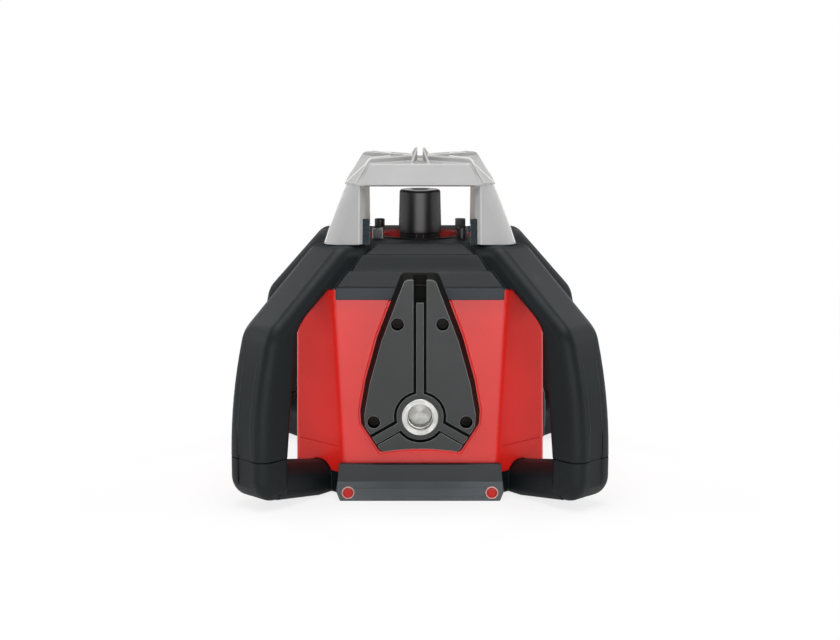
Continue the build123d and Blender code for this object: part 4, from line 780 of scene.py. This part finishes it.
# Bead along the outer edge of each guard leg and up over its strap, in a pale finish: a painted highlight
# for the light on the legs' corner edges. Its turning points are in mm, on the leg at +X +Y, and the way
# between them is laid on the guard's surface.
BEAD_WIRE = 0.5 * MM
BEAD_STEPS = 4
BEAD_TURNS = [(19, 14, 208), (25.5, 24.5, 208), (29, 32, 208), (32, 37.4, 208), (34, 39.4, 204.6),
              (45.5, 40.5, 194), (48.5, 41.5, 185.5), (56.5, 49.5, 165.5), (58.5, 54.5, 157)]
way_points = [Vector(first).lerp(Vector(last), step / BEAD_STEPS) * MM
              for first, last in zip(BEAD_TURNS, BEAD_TURNS[1:]) for step in range(BEAD_STEPS)]
way_points.append(Vector(BEAD_TURNS[-1]) * MM)
bead = [guard.closest_point_on_mesh(point)[1] for point in way_points]
beads = [[(spot.x * side, spot.y * end, spot.z) for spot in bead] for side in (-1, 1) for end in (-1, 1)]
strokes("guard_highlight_beads", beads, BEAD_WIRE, "bead_painted_highlight", "head_guard")


# Frame and knob on the outer face of each square bracket, in mm, on the bracket at +X +Y. The frame is a
# light grey outline, and its lightness is partly a painted highlight along the bracket's edges.
BRACKET_FACE = 30.4
FRAME_WIRE = 0.4
FRAME_LEFT, FRAME_RIGHT = 24.0, 30.0
FRAME_LOW, FRAME_HIGH = 156.6, 162.7
KNOB_X, KNOB_Z = 27.3, 160.8
KNOB_SINK = 0.2
KNOB_SIDES = 20
KNOB_REACH, KNOB_RADIUS = 0.9, 2.2
TIP_REACH, TIP_RADIUS = 1.4, 1.2
frame_line = [(FRAME_LEFT, BRACKET_FACE, FRAME_LOW), (FRAME_LEFT, BRACKET_FACE, FRAME_HIGH),
              (FRAME_RIGHT, BRACKET_FACE, FRAME_HIGH), (FRAME_RIGHT, BRACKET_FACE, FRAME_LOW)]


def on_both_brackets(line):
    """A line of points in mm on the bracket at +X +Y, and the same on the one across the well."""
    return [[(x * side * MM, y * side * MM, z * MM) for x, y, z in line] for side in (-1, 1)]


def knobs(name, reach, radius):
    """A round knob on both brackets, reach and radius in mm."""
    pin = [(KNOB_X, BRACKET_FACE - KNOB_SINK, KNOB_Z), (KNOB_X, BRACKET_FACE + reach, KNOB_Z)]
    strokes(name, on_both_brackets(pin), radius * MM, "black_head", "collar_brackets",
            sides=KNOB_SIDES)


strokes("bracket_frames", on_both_brackets(frame_line), FRAME_WIRE * MM, "frame_grey_highlight", "collar_brackets")
knobs("bracket_knobs", KNOB_REACH, KNOB_RADIUS)
knobs("bracket_knob_tips", TIP_REACH, TIP_RADIUS)


# Camera

TARGET = Vector((0, 0, 98.65 * MM))
DISTANCE = 1100 * MM
ELEVATION = math.radians(9.6)
LENS = 71.27
SENSOR = 36.0
camera = bpy.data.objects.new("camera", bpy.data.cameras.new("camera"))
camera.data.lens = LENS
camera.data.sensor_width = SENSOR
camera.location = TARGET + DISTANCE * Vector((0, -math.cos(ELEVATION), math.sin(ELEVATION)))
camera.rotation_euler = (TARGET - camera.location).to_track_quat("-Z", "Y").to_euler()
scene.collection.objects.link(camera)
scene.camera = camera


# Lights and surroundings

LIT = Vector((0, 0, 100 * MM))


def soft_box(name, place, width, height, power):
    """A rectangular soft box that points at the middle of the object. Sizes are in metres."""
    lamp = bpy.data.lights.new(name, "AREA")
    lamp.shape = "RECTANGLE"
    lamp.size = width
    lamp.size_y = height
    lamp.energy = power
    made = bpy.data.objects.new(name, lamp)
    made.location = place
    made.rotation_euler = (LIT - Vector(place)).to_track_quat("-Z", "Y").to_euler()
    scene.collection.objects.link(made)


soft_box("overhead", (0, 0, 1.8), width=1.4, height=1.2, power=21)
soft_box("high_front", (0, -0.7, 1.7), width=1.4, height=0.6, power=8)
soft_box("front_low", (0, -2.0, 0.3), width=1.8, height=0.55, power=13)
for side in (-1, 1):
    soft_box("side", (1.8 * side, 0, 0.8), width=0.9, height=0.9, power=9)
    soft_box("rear", (1.2 * side, 1.2, 1.0), width=0.5, height=0.9, power=7)


def clean_tree(owner):
    """The emptied node tree of a world or a material, and the light path's outputs as wires."""
    owner.use_nodes = True
    tree = owner.node_tree
    tree.nodes.clear()
    outputs = tree.nodes.new("ShaderNodeLightPath").outputs
    rays = ("Camera", "Glossy", "Transmission")
    return tree, {name: Wire(tree, outputs[f"Is {name} Ray"]) for name in rays}


# A white room: dim in the light that it gives, white to the camera, grey and low down in reflections
WHITE = (1, 1, 1, 1)
ROOM = 0.13
MIRRORED = 0.4
WALL_LOW, WALL_HIGH = 0.05, 0.35
world = bpy.data.worlds.new("studio")
scene.world = world
tree, ray = clean_tree(world)
way = Wire(tree, tree.nodes.new("ShaderNodeTexCoord").outputs["Generated"])
low_wall = 1 - way.part("Z").over(WALL_LOW, WALL_HIGH)
mirrored = ray["Glossy"].maths("MAXIMUM", MIRRORED * ray["Glossy"], ray["Transmission"])
seen = mirrored.maths("MAXIMUM", mirrored * low_wall, ray["Camera"])
sky = seen.node("Background", {}, {"Color": WHITE, "Strength": ROOM + (1 - ROOM) * seen})
out = tree.nodes.new("ShaderNodeOutputWorld")
tree.links.new(sky.socket, out.inputs["Surface"])

# A white sweep that keeps the object's shadow near by and fades to plain white further off, in metres
FLOOR_HALF = 8.0
PAPER = (0.85, 0.85, 0.85, 1)
GLOW = 0.8
FADE_START, FADE_END = 0.35, 0.9
floor_mesh = bpy.data.meshes.new("floor")
corners = [(-FLOOR_HALF, -FLOOR_HALF, 0), (FLOOR_HALF, -FLOOR_HALF, 0),
           (FLOOR_HALF, FLOOR_HALF, 0), (-FLOOR_HALF, FLOOR_HALF, 0)]
floor_mesh.from_pydata(corners, [], [(0, 1, 2, 3)])
floor = bpy.data.objects.new("floor", floor_mesh)
scene.collection.objects.link(floor)
paper = bpy.data.materials.new("white_sweep")
tree, ray = clean_tree(paper)
place = Wire(tree, tree.nodes.new("ShaderNodeTexCoord").outputs["Object"])
away = place.node("VectorMath", {"operation": "LENGTH"}, {0: place}, "Value")
seen = ray["Camera"].maths("MAXIMUM", ray["Camera"], MIRRORED * ray["Glossy"])
seen = seen.maths("MAXIMUM", seen, ray["Transmission"])
glow_share = GLOW + (1 - GLOW) * away.over(FADE_START, FADE_END)
matt = seen.node("BsdfDiffuse", {}, {"Color": PAPER})
glow = seen.node("Emission", {}, {"Color": WHITE, "Strength": 1.0})
both = seen.node("MixShader", {}, {0: glow_share * seen, 1: matt, 2: glow})
out = tree.nodes.new("ShaderNodeOutputMaterial")
tree.links.new(both.socket, out.inputs["Surface"])
floor_mesh.materials.append(paper)

scene.view_settings.view_transform = "Standard"
